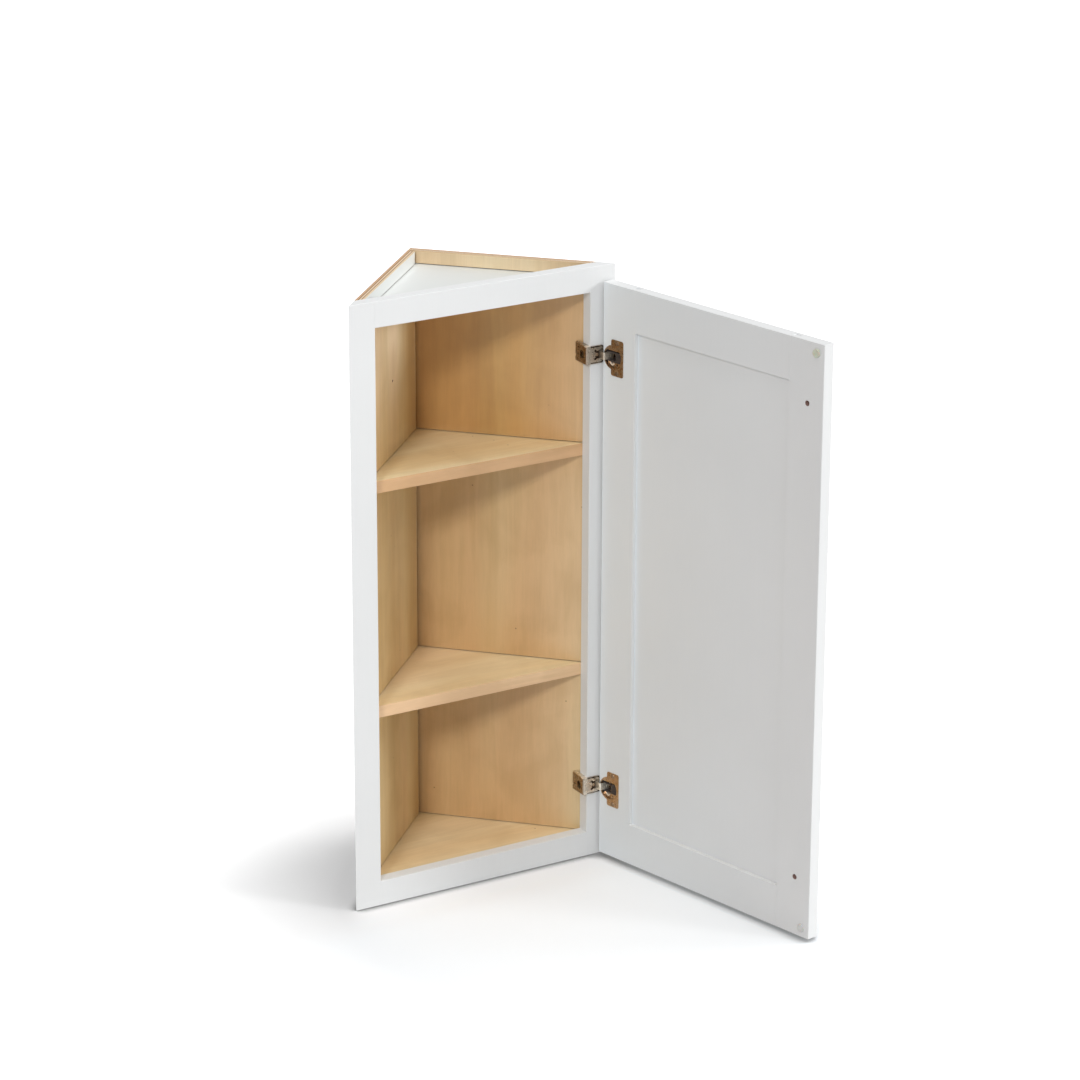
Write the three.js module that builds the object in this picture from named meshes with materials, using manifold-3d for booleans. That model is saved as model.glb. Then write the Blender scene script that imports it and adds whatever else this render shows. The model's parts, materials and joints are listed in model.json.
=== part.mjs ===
// Corner wall cabinet: two plywood sides that meet at a right angle in the corner of a room,
// a face frame and one five-piece door across the diagonal front, a recessed top, a floor
// and two fixed shelves. The door hangs on two wrap-round face-frame cup hinges.
// Millimetres. +X runs right along the front, +Y into the corner of the room, +Z up.
// Lengths are counted from the lower left front corner of the face frame, and the whole
// cabinet is then moved so that the middle of its right wall face is the origin.
import * as THREE from "three";
import { mergeVertices } from "three/addons/utils/BufferGeometryUtils.js";
import Module from "manifold-3d";

const wasm = await Module();
wasm.setup();

// ---- Main sizes -------------------------------------------------------------------------

const LEG = 304.8; // each side, from the front corner to the corner of the room
const HEIGHT = 914.4;
const PLY = 12; // sides, top and floor
const SHELF = 18; // thickness of a shelf board
const GLUE = 0.2; // gap left at every wooden joint
const LOOSE = 0.3; // gap round a loose or moving piece
const SEAT = 0.15; // gap under a metal or soft part that rests on wood
const PAST = 1; // a cutter runs this far past what it cuts
const HOLE_SPARE = 1; // a screw hole is this much deeper than its screw
const SAME_POINT = 1e-4; // corners closer than this are one
const ROUND = { small: 16, middle: 24, large: 40 }; // sides of a round shape
const CORNER_STEPS = 4; // steps round the corner of a plate
const HALF = 0.5;
const ROOT2 = Math.SQRT2;
const WIDTH = LEG * ROOT2; // across the diagonal front

// ---- Face frame -------------------------------------------------------------------------

const FRAME_DEPTH = 19.05;
const STILE = 41.3; // face width of a frame stile
const RAIL = 38.1; // face height of a frame rail
const TENON_LENGTH = 18; // of a frame rail into its stile
const TENON_THICK = 8;
const TENON_SHOULDER = 6; // above and below the tenon

// ---- Boards inside ----------------------------------------------------------------------

const HOUSING = 4; // depth of the groove that holds each board in the sides
const TOP_DROP = 19.5; // from the top of the sides down to the top board
const FLOOR_DROP = 5; // from the upper edge of the lower rail down to the floor board
const LOWER_SHELF_SHARE = 0.3316; // upper face of each shelf, as a share of the height
const UPPER_SHELF_SHARE = 0.7048;

// ---- Door -------------------------------------------------------------------------------

const OPEN_ANGLE = 103.5; // degrees, as the door stands
const DOOR_THICK = 19.05;
const DOOR_MEMBER = 63.5; // face width of the door's stiles and rails
const DOOR_SIDE = 3.5; // closed door in from each edge of the frame
const DOOR_UP = 5; // closed door up from the foot of the frame
const DOOR_DOWN = 22.9; // closed door down from the top of the frame
const DOOR_GAP = 3.2; // air behind the closed door, filled by the bumper pads
const EASE = 1.2; // chamfer on the door's long outer edges
const PANEL = 6.35; // thickness of the centre panel
const PANEL_SET_BACK = 6; // centre panel in from the back of the door
const DOOR_GROOVE = 10; // depth of the groove round the centre panel
const PANEL_FLOAT = 1.5; // room for the centre panel to swell in its groove
const PAD_RADIUS = 6.35;
const PAD_TIP = 0.8; // face of a pad, as a share of its radius
const PAD_IN = 14; // pad centre from the free edge and from the ends of the door
const KNOB_HOLE_RADIUS = 4;
const KNOB_HOLE_DEPTH = 12;
const KNOB_HOLE_IN = 29; // from the free edge
const KNOB_HOLE_END = 89; // from the ends of the door

// ---- Hinge, on the door -----------------------------------------------------------------

const HINGE_END = 108.4; // hinge centre from the ends of the door
const PIVOT_IN = 8.7; // pin centre in from the door's hinge edge
const PIVOT_DEEP = 8.7; // pin centre in from the door's back face
const PIN_RADIUS = 1.4;
const CUP_RADIUS = 17.5;
const CUP_WALL = 0.7;
const CUP_EDGE = 3; // from the cup to the door's hinge edge
const CUP_DEEP = 12.6;
const CUP_BRIM = 0.7; // the cup's brim beyond its bore
const CUP_MOUTH_TOP = 10.5; // the mouth ends here above the hinge centre
const FLANGE_THICK = 0.8;
const FLANGE_HALF = 27; // half the height of the screw flange
const FLANGE_NEAR = 17; // ends of the screw flange from the hinge edge
const FLANGE_FAR = 41;
const FLANGE_CORNER = 3;
const DAMPER_HALF = 7.8; // half the height of the damper
const DAMPER_SINK = 1.1; // damper's face below the back of the door
const SPRING_TALL = 4.9;
const SPRING_HALF = 8.6; // half the length of the closing spring
const SPRING_SHEET = 1;
const SPRING_SINK = 1.5; // spring's top below the back of the door
const SPRING_SLOPE = 1.4;
const CUP_SCREW_IN = 29; // from the hinge edge
const CUP_SCREW_OFF = 22.5; // above and below the hinge centre

// ---- Hinge, on the frame ----------------------------------------------------------------

const ARM_THICK = 1.6;
const ARM_HALF = 5.2; // half the height of the arm
const ARM_REACH = 15; // from the pin to the far face of the arm's upright
const ARM_BASE = 10; // the arm's foot beyond its upright
const ARM_BASE_HALF = 8.5;
const KNUCKLE_WALL = 0.9; // metal round the pin
const WING_SHEET = 1.2; // the wing's side leg
const WING_STAND_OFF = 6.5; // side leg off the edge of the stile
const WING_FACE_SHEET = 1; // the wing's front leg
const WING_FACE_LIFT = 1; // front leg off the face of the stile
const WING_HALF = 13.4; // half the wing's height at its front
const WING_RISE = 2; // the wing is taller at its back
const WING_BACK = 27.5; // side leg's reach behind the face of the frame
const WING_FOOT_BACK = 18; // reach of the foot that lies on the stile
const WING_TO_PIN = 7; // from the end of the front leg to the pin
const WING_CORNER = 4;
const WINDOW_LEFT = 6.3; // window's corner holes, from the arm's upright
const WINDOW_HOLE_RADIUS = 2;
const WINDOW_HOLE_OFF = 6;
const SLOT_BACK = 9.6; // screw slot and mounting screw, behind the face of the frame
const SLOT_WIDE_HALF = 3.4;
const SLOT_TALL_HALF = 5.8;
const SLOT_CORNER = 3.06;
const WING_HOLE_RADIUS = 1.3; // small hole above the slot
const WING_HOLE_UP = 9.38; // above the hinge centre

// ---- Screws -----------------------------------------------------------------------------

const SCREW_RADIUS = 1.5;
const HEAD_RADIUS = 3.1;
const SMALL_HEAD_RADIUS = 2.4;
const HEAD_THICK = 1;
const RECESS_WIDE = 0.8; // cross recess in a head
const RECESS_DEEP = 0.5;
const RECESS_REACH = 0.6; // as a share of the head's radius
const CUP_SCREW_LENGTH = 12;
const MOUNT_SCREW_LENGTH = 14;
const ADJUST_SCREW_LENGTH = 5;
const ADJUST_SCREW_OFF = 3.2; // from the arm's upright

// ---- Worked out from the sizes above ----------------------------------------------------

const INSIDE_LEFT = STILE; // the opening in the face frame
const INSIDE_RIGHT = WIDTH - STILE;
const TOP_TOP = HEIGHT - TOP_DROP;
const FLOOR_TOP = RAIL - FLOOR_DROP;
const BEHIND_FRAME = FRAME_DEPTH + GLUE;
const DOOR_WIDTH = WIDTH - 2 * DOOR_SIDE;
const DOOR_Z0 = DOOR_UP;
const DOOR_Z1 = HEIGHT - DOOR_DOWN;
const PIVOT_X = WIDTH - DOOR_SIDE - PIVOT_IN;
const PIVOT_Y = -(DOOR_GAP + PIVOT_DEEP);
const HINGE_HEIGHTS = { upper: DOOR_Z1 - HINGE_END, lower: DOOR_Z0 + HINGE_END };
const KNUCKLE_RADIUS = PIN_RADIUS + LOOSE + KNUCKLE_WALL;
const UPRIGHT_X = PIVOT_X - ARM_REACH;
const ADJUST_SCREW_X = UPRIGHT_X - ADJUST_SCREW_OFF;
const HOLE_RADIUS = SCREW_RADIUS + LOOSE;

// The door's own faces, counted from the hinge pin with the door closed.
const HINGE_EDGE = PIVOT_IN;
const FREE_EDGE = PIVOT_IN - DOOR_WIDTH;
const BACK_FACE = PIVOT_DEEP;
const FRONT_FACE = PIVOT_DEEP - DOOR_THICK;
const PANEL_BACK = BACK_FACE - PANEL_SET_BACK;
const PANEL_FRONT = PANEL_BACK - PANEL;
const CUP_X = HINGE_EDGE - CUP_EDGE - CUP_RADIUS;
const CUP_OUTER = CUP_RADIUS - LOOSE;
const CUP_INNER = CUP_OUTER - CUP_WALL;
const CUP_UNDER = BACK_FACE - CUP_DEEP;
const CUP_FLOOR = CUP_UNDER + CUP_WALL;
const FLANGE_UNDER = BACK_FACE + SEAT;
const FLANGE_FACE = FLANGE_UNDER + FLANGE_THICK;

// ---- Materials --------------------------------------------------------------------------

function finish(color, roughness, metalness) {
  return new THREE.MeshStandardMaterial({ color, roughness, metalness });
}

const WHITE_PAINT = finish("#eeeeec", 0.42, 0);
const MAPLE = finish("#c79a62", 0.5, 0);
const HINGE_STEEL = finish("#9c8468", 0.32, 1);
const BRIGHT_STEEL = finish("#c9c4ba", 0.25, 1);
const DARK_PLASTIC = finish("#3a322e", 0.5, 0);
const SOFT_PAD = finish("#d8d2b4", 0.35, 0);

// ---- Solids -----------------------------------------------------------------------------

// Turns a three.js geometry into a closed solid that can be joined and cut.
function solid(geometry) {
  const bare = geometry.clone();
  bare.deleteAttribute("normal");
  bare.deleteAttribute("uv");
  const merged = mergeVertices(bare, SAME_POINT);
  return new wasm.Manifold(
    new wasm.Mesh({
      numProp: 3,
      vertProperties: merged.attributes.position.array,
      triVerts: new Uint32Array(merged.index.array),
    }),
  );
}

function join(...solids) {
  return solids.reduce((whole, one) => whole.add(one));
}

function cut(whole, ...cutters) {
  return cutters.reduce((rest, one) => rest.subtract(one), whole);
}

function box(x0, x1, y0, y1, z0, z1) {
  const block = new THREE.BoxGeometry(
    Math.abs(x1 - x0),
    Math.abs(y1 - y0),
    Math.abs(z1 - z0),
  );
  return solid(block.translate((x0 + x1) * HALF, (y0 + y1) * HALF, (z0 + z1) * HALF));
}

// A flat outline raised by some depth.
function raised(corners, depth) {
  const shape = new THREE.Shape(corners.map(([p, q]) => new THREE.Vector2(p, q)));
  return new THREE.ExtrudeGeometry(shape, { depth, bevelEnabled: false });
}

// An outline in X and Y, raised from z0 to z1.
function prism(corners, z0, z1) {
  return solid(raised(corners, z1 - z0).translate(0, 0, z0));
}

// An outline in X and Z, raised from y0 to y1.
function facePlate(corners, y0, y1) {
  return solid(
    raised(corners, y1 - y0)
      .rotateX(Math.PI / 2)
      .translate(0, y1, 0),
  );
}

// An outline in Y and Z, raised from x0 to x1.
function sidePlate(corners, x0, x1) {
  return solid(
    raised(corners, x1 - x0)
      .rotateX(Math.PI / 2)
      .rotateZ(Math.PI / 2)
      .translate(x0, 0, 0),
  );
}

// A cylinder along X, Y or Z between two positions; centre gives the other two coordinates.
function rod(axis, from, to, radius, [p, q], sides) {
  const round = new THREE.CylinderGeometry(radius, radius, to - from, sides);
  const middle = (from + to) * HALF;
  if (axis === "x") {
    return solid(round.rotateZ(-Math.PI / 2).translate(middle, p, q));
  }
  if (axis === "y") {
    return solid(round.translate(p, middle, q));
  }
  return solid(round.rotateX(Math.PI / 2).translate(p, q, middle));
}

// Corners of a rectangle whose corners are rounded.
function roundedRectangle(p0, p1, q0, q1, radius) {
  const centres = [
    [p1 - radius, q1 - radius],
    [p0 + radius, q1 - radius],
    [p0 + radius, q0 + radius],
    [p1 - radius, q0 + radius],
  ];
  return centres.flatMap(([p, q], quarter) =>
    Array.from({ length: CORNER_STEPS + 1 }, (_, i) => {
      const angle = ((quarter + i / CORNER_STEPS) * Math.PI) / 2;
      return [p + radius * Math.cos(angle), q + radius * Math.sin(angle)];
    }),
  );
}

function geometryOf(manifold) {
  const mesh = manifold.getMesh();
  const stride = mesh.numProp;
  const points = new Float32Array(mesh.numVert * 3);
  for (let i = 0; i < mesh.numVert; i += 1) {
    points.set(mesh.vertProperties.subarray(i * stride, i * stride + 3), i * 3);
  }
  const geometry = new THREE.BufferGeometry();
  geometry.setAttribute("position", new THREE.BufferAttribute(points, 3));
  geometry.setIndex(new THREE.BufferAttribute(new Uint32Array(mesh.triVerts), 1));
  return geometry;
}

function piece(name, manifold, material) {
  const mesh = new THREE.Mesh(geometryOf(manifold), material.clone());
  mesh.name = name;
  return mesh;
}

function group(name, children) {
  const made = new THREE.Group();
  made.name = name;
  made.add(...children);
  return made;
}

// ---- Sides ------------------------------------------------------------------------------

// A point measured along a side from the corner of the room, and in from its outer face.
// hand is 1 for the right side and -1 for the left.
function onSide(hand, along, inward) {
  const corner = WIDTH * HALF;
  const x = corner + (hand * (along - inward)) / ROOT2;
  const y = corner - (along + inward) / ROOT2;
  return [x, y];
}

// Where a side ends behind the face frame, measured along it.
function sideEnd(inward) {
  return LEG - ROOT2 * BEHIND_FRAME - inward;
}

// Lower and upper face of the top, the floor and the shelves.
function boardHeights() {
  const upper = HEIGHT * UPPER_SHELF_SHARE;
  const lower = HEIGHT * LOWER_SHELF_SHARE;
  return {
    top_board: [TOP_TOP - PLY, TOP_TOP],
    upper_shelf: [upper - SHELF, upper],
    lower_shelf: [lower - SHELF, lower],
    floor_board: [FLOOR_TOP - PLY, FLOOR_TOP],
  };
}

// A side is cut to 45 degrees behind the frame and grooved for each board.
function side(hand, start, grooveStart) {
  const slab = [
    onSide(hand, start, 0),
    onSide(hand, start, PLY),
    onSide(hand, sideEnd(PLY), PLY),
    onSide(hand, sideEnd(0), 0),
  ];
  const strip = [
    onSide(hand, grooveStart, PLY - HOUSING),
    onSide(hand, grooveStart, PLY + HOUSING),
    onSide(hand, LEG, PLY + HOUSING),
    onSide(hand, LEG, PLY - HOUSING),
  ];
  const grooves = Object.values(boardHeights()).map(([z0, z1]) =>
    prism(strip, z0 - GLUE, z1 + GLUE),
  );
  return cut(prism(slab, 0, HEIGHT), ...grooves);
}

// The right side runs through to the corner of the room and the left one butts against it.
function sides() {
  return [
    piece("right_side", side(1, 0, PLY - HOUSING), MAPLE),
    piece("left_side", side(-1, PLY + GLUE, 0), MAPLE),
  ];
}

// ---- Top, floor and shelves -------------------------------------------------------------

// Each board is a triangle that reaches into the grooves of both sides.
function board(z0, z1) {
  const inward = PLY - HOUSING + GLUE;
  const front = sideEnd(inward);
  const outline = [
    onSide(1, inward, inward),
    onSide(-1, front, inward),
    onSide(1, front, inward),
  ];
  return prism(outline, z0, z1);
}

function insideBoards() {
  return Object.entries(boardHeights()).map(([name, [z0, z1]]) =>
    piece(name, board(z0, z1), MAPLE),
  );
}

// ---- Face frame -------------------------------------------------------------------------

// The lower edge of each frame rail.
const FRAME_RAILS = { frame_top_rail: HEIGHT - RAIL, frame_bottom_rail: 0 };

// The tenons of one rail, or with some room round them the mortises for it.
function tenons(z0, room) {
  const middle = FRAME_DEPTH * HALF;
  const thick = TENON_THICK * HALF + room;
  return box(
    INSIDE_LEFT - TENON_LENGTH - room,
    INSIDE_RIGHT + TENON_LENGTH + room,
    middle - thick,
    middle + thick,
    z0 + TENON_SHOULDER - room,
    z0 + RAIL - TENON_SHOULDER + room,
  );
}

function frameRail(z0) {
  const left = INSIDE_LEFT + GLUE;
  const right = INSIDE_RIGHT - GLUE;
  return join(box(left, right, 0, FRAME_DEPTH, z0, z0 + RAIL), tenons(z0, 0));
}

// The outer edge of each stile is cut to 45 degrees, in line with the side behind it.
function frameStile(hand) {
  const outline = [
    [0, 0],
    [STILE, 0],
    [STILE, FRAME_DEPTH],
    [FRAME_DEPTH, FRAME_DEPTH],
  ].map(([x, y]) => [hand < 0 ? x : WIDTH - x, y]);
  const mortises = Object.values(FRAME_RAILS).map((z0) => tenons(z0, GLUE));
  return cut(prism(outline, 0, HEIGHT), ...mortises);
}

// Holes in the right stile for the screws of both hinges.
function stileScrewHoles() {
  const deep = INSIDE_RIGHT + MOUNT_SCREW_LENGTH + HOLE_SPARE;
  const short = ADJUST_SCREW_LENGTH + HOLE_SPARE;
  const sides = ROUND.small;
  return Object.values(HINGE_HEIGHTS).flatMap((z) => [
    rod("x", INSIDE_RIGHT - PAST, deep, HOLE_RADIUS, [SLOT_BACK, z], sides),
    rod("y", -PAST, short, HOLE_RADIUS, [ADJUST_SCREW_X, z], sides),
  ]);
}

function faceFrame() {
  const rails = Object.entries(FRAME_RAILS).map(([name, z0]) =>
    piece(name, frameRail(z0), WHITE_PAINT),
  );
  const hung = cut(frameStile(1), ...stileScrewHoles());
  return [
    piece("frame_left_stile", frameStile(-1), WHITE_PAINT),
    piece("frame_right_stile", hung, WHITE_PAINT),
    ...rails,
  ];
}

// ---- Door, counted from the hinge pin with the door closed -------------------------------

// The groove round the centre panel.
function panelGroove(x0, x1, z0, z1) {
  return box(x0, x1, PANEL_FRONT - LOOSE, PANEL_BACK + LOOSE, z0, z1);
}

// A door stile has its two outer long edges eased and its inner edge grooved.
function doorStile(outer) {
  const way = outer === HINGE_EDGE ? 1 : -1;
  const inner = outer - way * DOOR_MEMBER;
  const outline = [
    [inner, FRONT_FACE],
    [outer - way * EASE, FRONT_FACE],
    [outer, FRONT_FACE + EASE],
    [outer, BACK_FACE - EASE],
    [outer - way * EASE, BACK_FACE],
    [inner, BACK_FACE],
  ];
  const grooveFloor = inner + way * DOOR_GROOVE;
  const [z0, z1] = [DOOR_Z0 - PAST, DOOR_Z1 + PAST];
  const groove = panelGroove(inner - way * PAST, grooveFloor, z0, z1);
  return cut(prism(outline, DOOR_Z0, DOOR_Z1), groove);
}

// A door rail is grooved too, and a tongue at each end fills the grooves of the stiles.
function doorRail(outer, way) {
  const left = FREE_EDGE + DOOR_MEMBER + GLUE;
  const right = HINGE_EDGE - DOOR_MEMBER - GLUE;
  const inner = outer + way * DOOR_MEMBER;
  const grooveFloor = inner - way * DOOR_GROOVE;
  const body = box(left, right, FRONT_FACE, BACK_FACE, outer, inner);
  const past = inner + way * PAST;
  const groove = panelGroove(left - PAST, right + PAST, grooveFloor, past);
  const tongues = box(
    left - DOOR_GROOVE,
    right + DOOR_GROOVE,
    PANEL_FRONT,
    PANEL_BACK,
    outer,
    grooveFloor - way * GLUE,
  );
  return join(cut(body, groove), tongues);
}

function centrePanel() {
  const frame = DOOR_MEMBER - DOOR_GROOVE + PANEL_FLOAT;
  return box(
    FREE_EDGE + frame,
    HINGE_EDGE - frame,
    PANEL_FRONT,
    PANEL_BACK,
    DOOR_Z0 + frame,
    DOOR_Z1 - frame,
  );
}

// A hole from the back of the door.
function backHole(x, z, deep, radius, sides) {
  return rod("y", BACK_FACE - deep, BACK_FACE + PAST, radius, [x, z], sides);
}

// The bore for one cup and the holes for its two screws.
function cupBores(z) {
  const screwX = HINGE_EDGE - CUP_SCREW_IN;
  const deep = CUP_SCREW_LENGTH + LOOSE;
  return [
    backHole(CUP_X, z, CUP_DEEP + LOOSE, CUP_RADIUS, ROUND.large),
    backHole(screwX, z - CUP_SCREW_OFF, deep, HOLE_RADIUS, ROUND.small),
    backHole(screwX, z + CUP_SCREW_OFF, deep, HOLE_RADIUS, ROUND.small),
  ];
}

// A blind hole near each end of the free stile, ready for a knob.
function knobHoles() {
  const x = FREE_EDGE + KNOB_HOLE_IN;
  return [DOOR_Z0 + KNOB_HOLE_END, DOOR_Z1 - KNOB_HOLE_END].map((z) =>
    backHole(x, z, KNOB_HOLE_DEPTH, KNOB_HOLE_RADIUS, ROUND.middle),
  );
}

// A soft round pad on the back of the door that meets the frame when the door shuts.
function bumperPad(z) {
  const base = BACK_FACE + SEAT;
  const face = BACK_FACE + DOOR_GAP - LOOSE;
  const rim = (base + face) * HALF;
  const profile = [
    [0, base],
    [PAD_RADIUS, base],
    [PAD_RADIUS, rim],
    [PAD_RADIUS * PAD_TIP, face],
    [0, face],
  ].map(([r, y]) => new THREE.Vector2(r, y));
  const turned = new THREE.LatheGeometry(profile, ROUND.middle);
  return solid(turned.translate(FREE_EDGE + PAD_IN, 0, z));
}

function doorPieces() {
  const bores = Object.values(HINGE_HEIGHTS).flatMap(cupBores);
  const hingeStile = cut(doorStile(HINGE_EDGE), ...bores);
  const freeStile = cut(doorStile(FREE_EDGE), ...knobHoles());
  return [
    piece("door_hinge_stile", hingeStile, WHITE_PAINT),
    piece("door_free_stile", freeStile, WHITE_PAINT),
    piece("door_top_rail", doorRail(DOOR_Z1, -1), WHITE_PAINT),
    piece("door_bottom_rail", doorRail(DOOR_Z0, 1), WHITE_PAINT),
    piece("door_panel", centrePanel(), WHITE_PAINT),
    piece("upper_bumper_pad", bumperPad(DOOR_Z1 - PAD_IN), SOFT_PAD),
    piece("lower_bumper_pad", bumperPad(DOOR_Z0 + PAD_IN), SOFT_PAD),
  ];
}

// ---- Screws -----------------------------------------------------------------------------

// A screw that stands on its point, with the underside of its head at the origin.
function screw(name, headRadius, length) {
  const head = rod("z", 0, HEAD_THICK, headRadius, [0, 0], ROUND.middle);
  const shank = rod("z", -length, HEAD_THICK * HALF, SCREW_RADIUS, [0, 0], ROUND.small);
  const reach = headRadius * RECESS_REACH;
  const wide = RECESS_WIDE * HALF;
  const deep = HEAD_THICK - RECESS_DEEP;
  const top = HEAD_THICK + PAST;
  const slots = [
    box(-reach, reach, -wide, wide, deep, top),
    box(-wide, wide, -reach, reach, deep, top),
  ];
  return piece(name, cut(join(head, shank), ...slots), BRIGHT_STEEL);
}

// ---- Hinge pieces on the frame, at the height of the hinge centre -------------------------

// The arm: a foot on the stile under the wing, an upright, a bar and a knuckle round the pin.
function hingeArm() {
  const low = PIVOT_Y - KNUCKLE_RADIUS;
  const footFace = -(WING_FACE_LIFT - SEAT);
  const right = UPRIGHT_X + ARM_THICK;
  const left = UPRIGHT_X - ARM_BASE;
  const foot = box(left, right, footFace, -SEAT, -ARM_BASE_HALF, ARM_BASE_HALF);
  const upright = box(UPRIGHT_X, right, low, -SEAT, -ARM_HALF, ARM_HALF);
  const bar = box(UPRIGHT_X, PIVOT_X, low, low + ARM_THICK, -ARM_HALF, ARM_HALF);
  const centre = [PIVOT_X, PIVOT_Y];
  const knuckle = rod("z", -ARM_HALF, ARM_HALF, KNUCKLE_RADIUS, centre, ROUND.middle);
  const eye = rod("z", -HEIGHT, HEIGHT, PIN_RADIUS + LOOSE, centre, ROUND.middle);
  const screwAt = [ADJUST_SCREW_X, 0];
  const hole = rod("y", footFace - PAST, 0, HOLE_RADIUS, screwAt, ROUND.small);
  return cut(join(foot, upright, bar, knuckle), eye, hole);
}

// The window in the wing's front leg, with a round hole at each of its left corners.
function wingWindow() {
  const left = UPRIGHT_X - WINDOW_LEFT;
  const right = UPRIGHT_X + ARM_THICK + LOOSE;
  const half = ARM_HALF + LOOSE;
  const out = -(WING_FACE_LIFT + WING_FACE_SHEET + PAST);
  const corners = [-WINDOW_HOLE_OFF, WINDOW_HOLE_OFF].map((z) =>
    rod("y", out, 0, WINDOW_HOLE_RADIUS, [left, z], ROUND.middle),
  );
  return join(box(left, right, out, 0, -half, half), ...corners);
}

// The wing's side leg stands off the edge of the stile and is taller at its back.
function wingSideLeg() {
  const face = INSIDE_RIGHT - WING_STAND_OFF;
  const notch = WING_HALF * HALF;
  const outline = [
    [-(WING_FACE_LIFT + WING_FACE_SHEET), -WING_HALF],
    [WING_BACK, -WING_HALF],
    [WING_BACK, -notch],
    [WING_BACK - WING_SHEET, -notch],
    [WING_BACK - WING_SHEET, -notch * HALF],
    [WING_BACK, -notch * HALF],
    [WING_BACK, WING_HALF + WING_RISE],
    [WING_FOOT_BACK, WING_HALF + WING_RISE],
    [-(WING_FACE_LIFT + WING_FACE_SHEET), WING_HALF],
  ];
  const slot = roundedRectangle(
    SLOT_BACK - SLOT_WIDE_HALF,
    SLOT_BACK + SLOT_WIDE_HALF,
    -SLOT_TALL_HALF,
    SLOT_TALL_HALF,
    SLOT_CORNER,
  );
  const [x0, x1] = [face - WING_SHEET - PAST, face + PAST];
  const holeAt = [WING_FOOT_BACK, WING_HOLE_UP];
  const hole = rod("x", x0, x1, WING_HOLE_RADIUS, holeAt, ROUND.small);
  return cut(sidePlate(outline, face - WING_SHEET, face), sidePlate(slot, x0, x1), hole);
}

// Flanges above and below carry the foot that lies on the edge of the stile.
function wingFoot() {
  const outer = INSIDE_RIGHT - WING_STAND_OFF - WING_SHEET;
  const inner = INSIDE_RIGHT - SEAT;
  const flange = (z0) => box(outer, inner, 0, WING_FOOT_BACK, z0, z0 + WING_SHEET);
  const foot = box(inner - WING_SHEET, inner, 0, WING_FOOT_BACK, -WING_HALF, WING_HALF);
  const [x0, x1] = [inner - WING_SHEET - PAST, inner + PAST];
  const hole = rod("x", x0, x1, HOLE_RADIUS, [SLOT_BACK, 0], ROUND.small);
  const flanges = [flange(-WING_HALF), flange(WING_HALF - WING_SHEET)];
  return cut(join(foot, ...flanges), hole);
}

// The front leg is raised off the face of the stile and rests on a rim above and below.
function wingFrontLeg() {
  const left = INSIDE_RIGHT - WING_STAND_OFF - WING_SHEET;
  const right = PIVOT_X - WING_TO_PIN;
  const under = -WING_FACE_LIFT;
  const face = under - WING_FACE_SHEET;
  const wide = left - WING_CORNER * 2;
  const outline = roundedRectangle(wide, right, -WING_HALF, WING_HALF, WING_CORNER);
  const kept = box(left, right, face - PAST, 0, -WING_HALF, WING_HALF);
  const sheet = facePlate(outline, face, under).intersect(kept);
  const rim = (z0) =>
    box(
      INSIDE_RIGHT + WING_SHEET,
      right - WING_CORNER,
      under - WING_FACE_SHEET * HALF,
      -SEAT,
      z0,
      z0 + WING_FACE_SHEET,
    );
  const whole = join(sheet, rim(-WING_HALF), rim(WING_HALF - WING_FACE_SHEET));
  return cut(whole, wingWindow());
}

function frameSideOfHinge(name, height) {
  const wing = join(wingSideLeg(), wingFoot(), wingFrontLeg());
  const mountScrew = screw(`${name}_mount_screw`, HEAD_RADIUS, MOUNT_SCREW_LENGTH);
  mountScrew.rotation.y = -Math.PI / 2;
  mountScrew.position.set(INSIDE_RIGHT - 2 * SEAT - WING_SHEET, SLOT_BACK, 0);
  const adjustScrew = screw(
    `${name}_adjust_screw`,
    SMALL_HEAD_RADIUS,
    ADJUST_SCREW_LENGTH,
  );
  adjustScrew.rotation.x = Math.PI / 2;
  adjustScrew.position.set(ADJUST_SCREW_X, -WING_FACE_LIFT, 0);
  const pieces = [
    piece(`${name}_wing`, wing, HINGE_STEEL),
    piece(`${name}_arm`, hingeArm(), BRIGHT_STEEL),
    mountScrew,
    adjustScrew,
  ];
  const made = group(`${name}_hinge_on_frame`, pieces);
  made.position.z = height;
  return made;
}

// ---- Hinge pieces on the door, counted from the hinge pin --------------------------------

// A drawn steel cup with a screw flange above and below; its mouth stops short at the top.
function hingeCup() {
  const centre = [CUP_X, 0];
  const sides = ROUND.large;
  const brimRadius = CUP_RADIUS + CUP_BRIM;
  const brim = rod("y", FLANGE_UNDER, FLANGE_FACE, brimRadius, centre, sides);
  const shell = rod("y", CUP_UNDER, FLANGE_FACE, CUP_OUTER, centre, sides);
  const outline = roundedRectangle(
    HINGE_EDGE - FLANGE_FAR,
    HINGE_EDGE - FLANGE_NEAR,
    -FLANGE_HALF,
    FLANGE_HALF,
    FLANGE_CORNER,
  );
  const flange = facePlate(outline, FLANGE_UNDER, FLANGE_FACE);
  const hollow = rod("y", CUP_FLOOR, FLANGE_UNDER, CUP_INNER, centre, sides);
  const mouth = rod("y", CUP_FLOOR, FLANGE_FACE + PAST, CUP_INNER, centre, sides);
  const below = box(-DOOR_WIDTH, DOOR_WIDTH, -HEIGHT, HEIGHT, -HEIGHT, CUP_MOUTH_TOP);
  const holes = [-CUP_SCREW_OFF, CUP_SCREW_OFF].map((z) =>
    rod("y", 0, HEIGHT, HOLE_RADIUS, [HINGE_EDGE - CUP_SCREW_IN, z], ROUND.small),
  );
  return cut(join(brim, shell, flange), hollow, mouth.intersect(below), ...holes);
}

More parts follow.
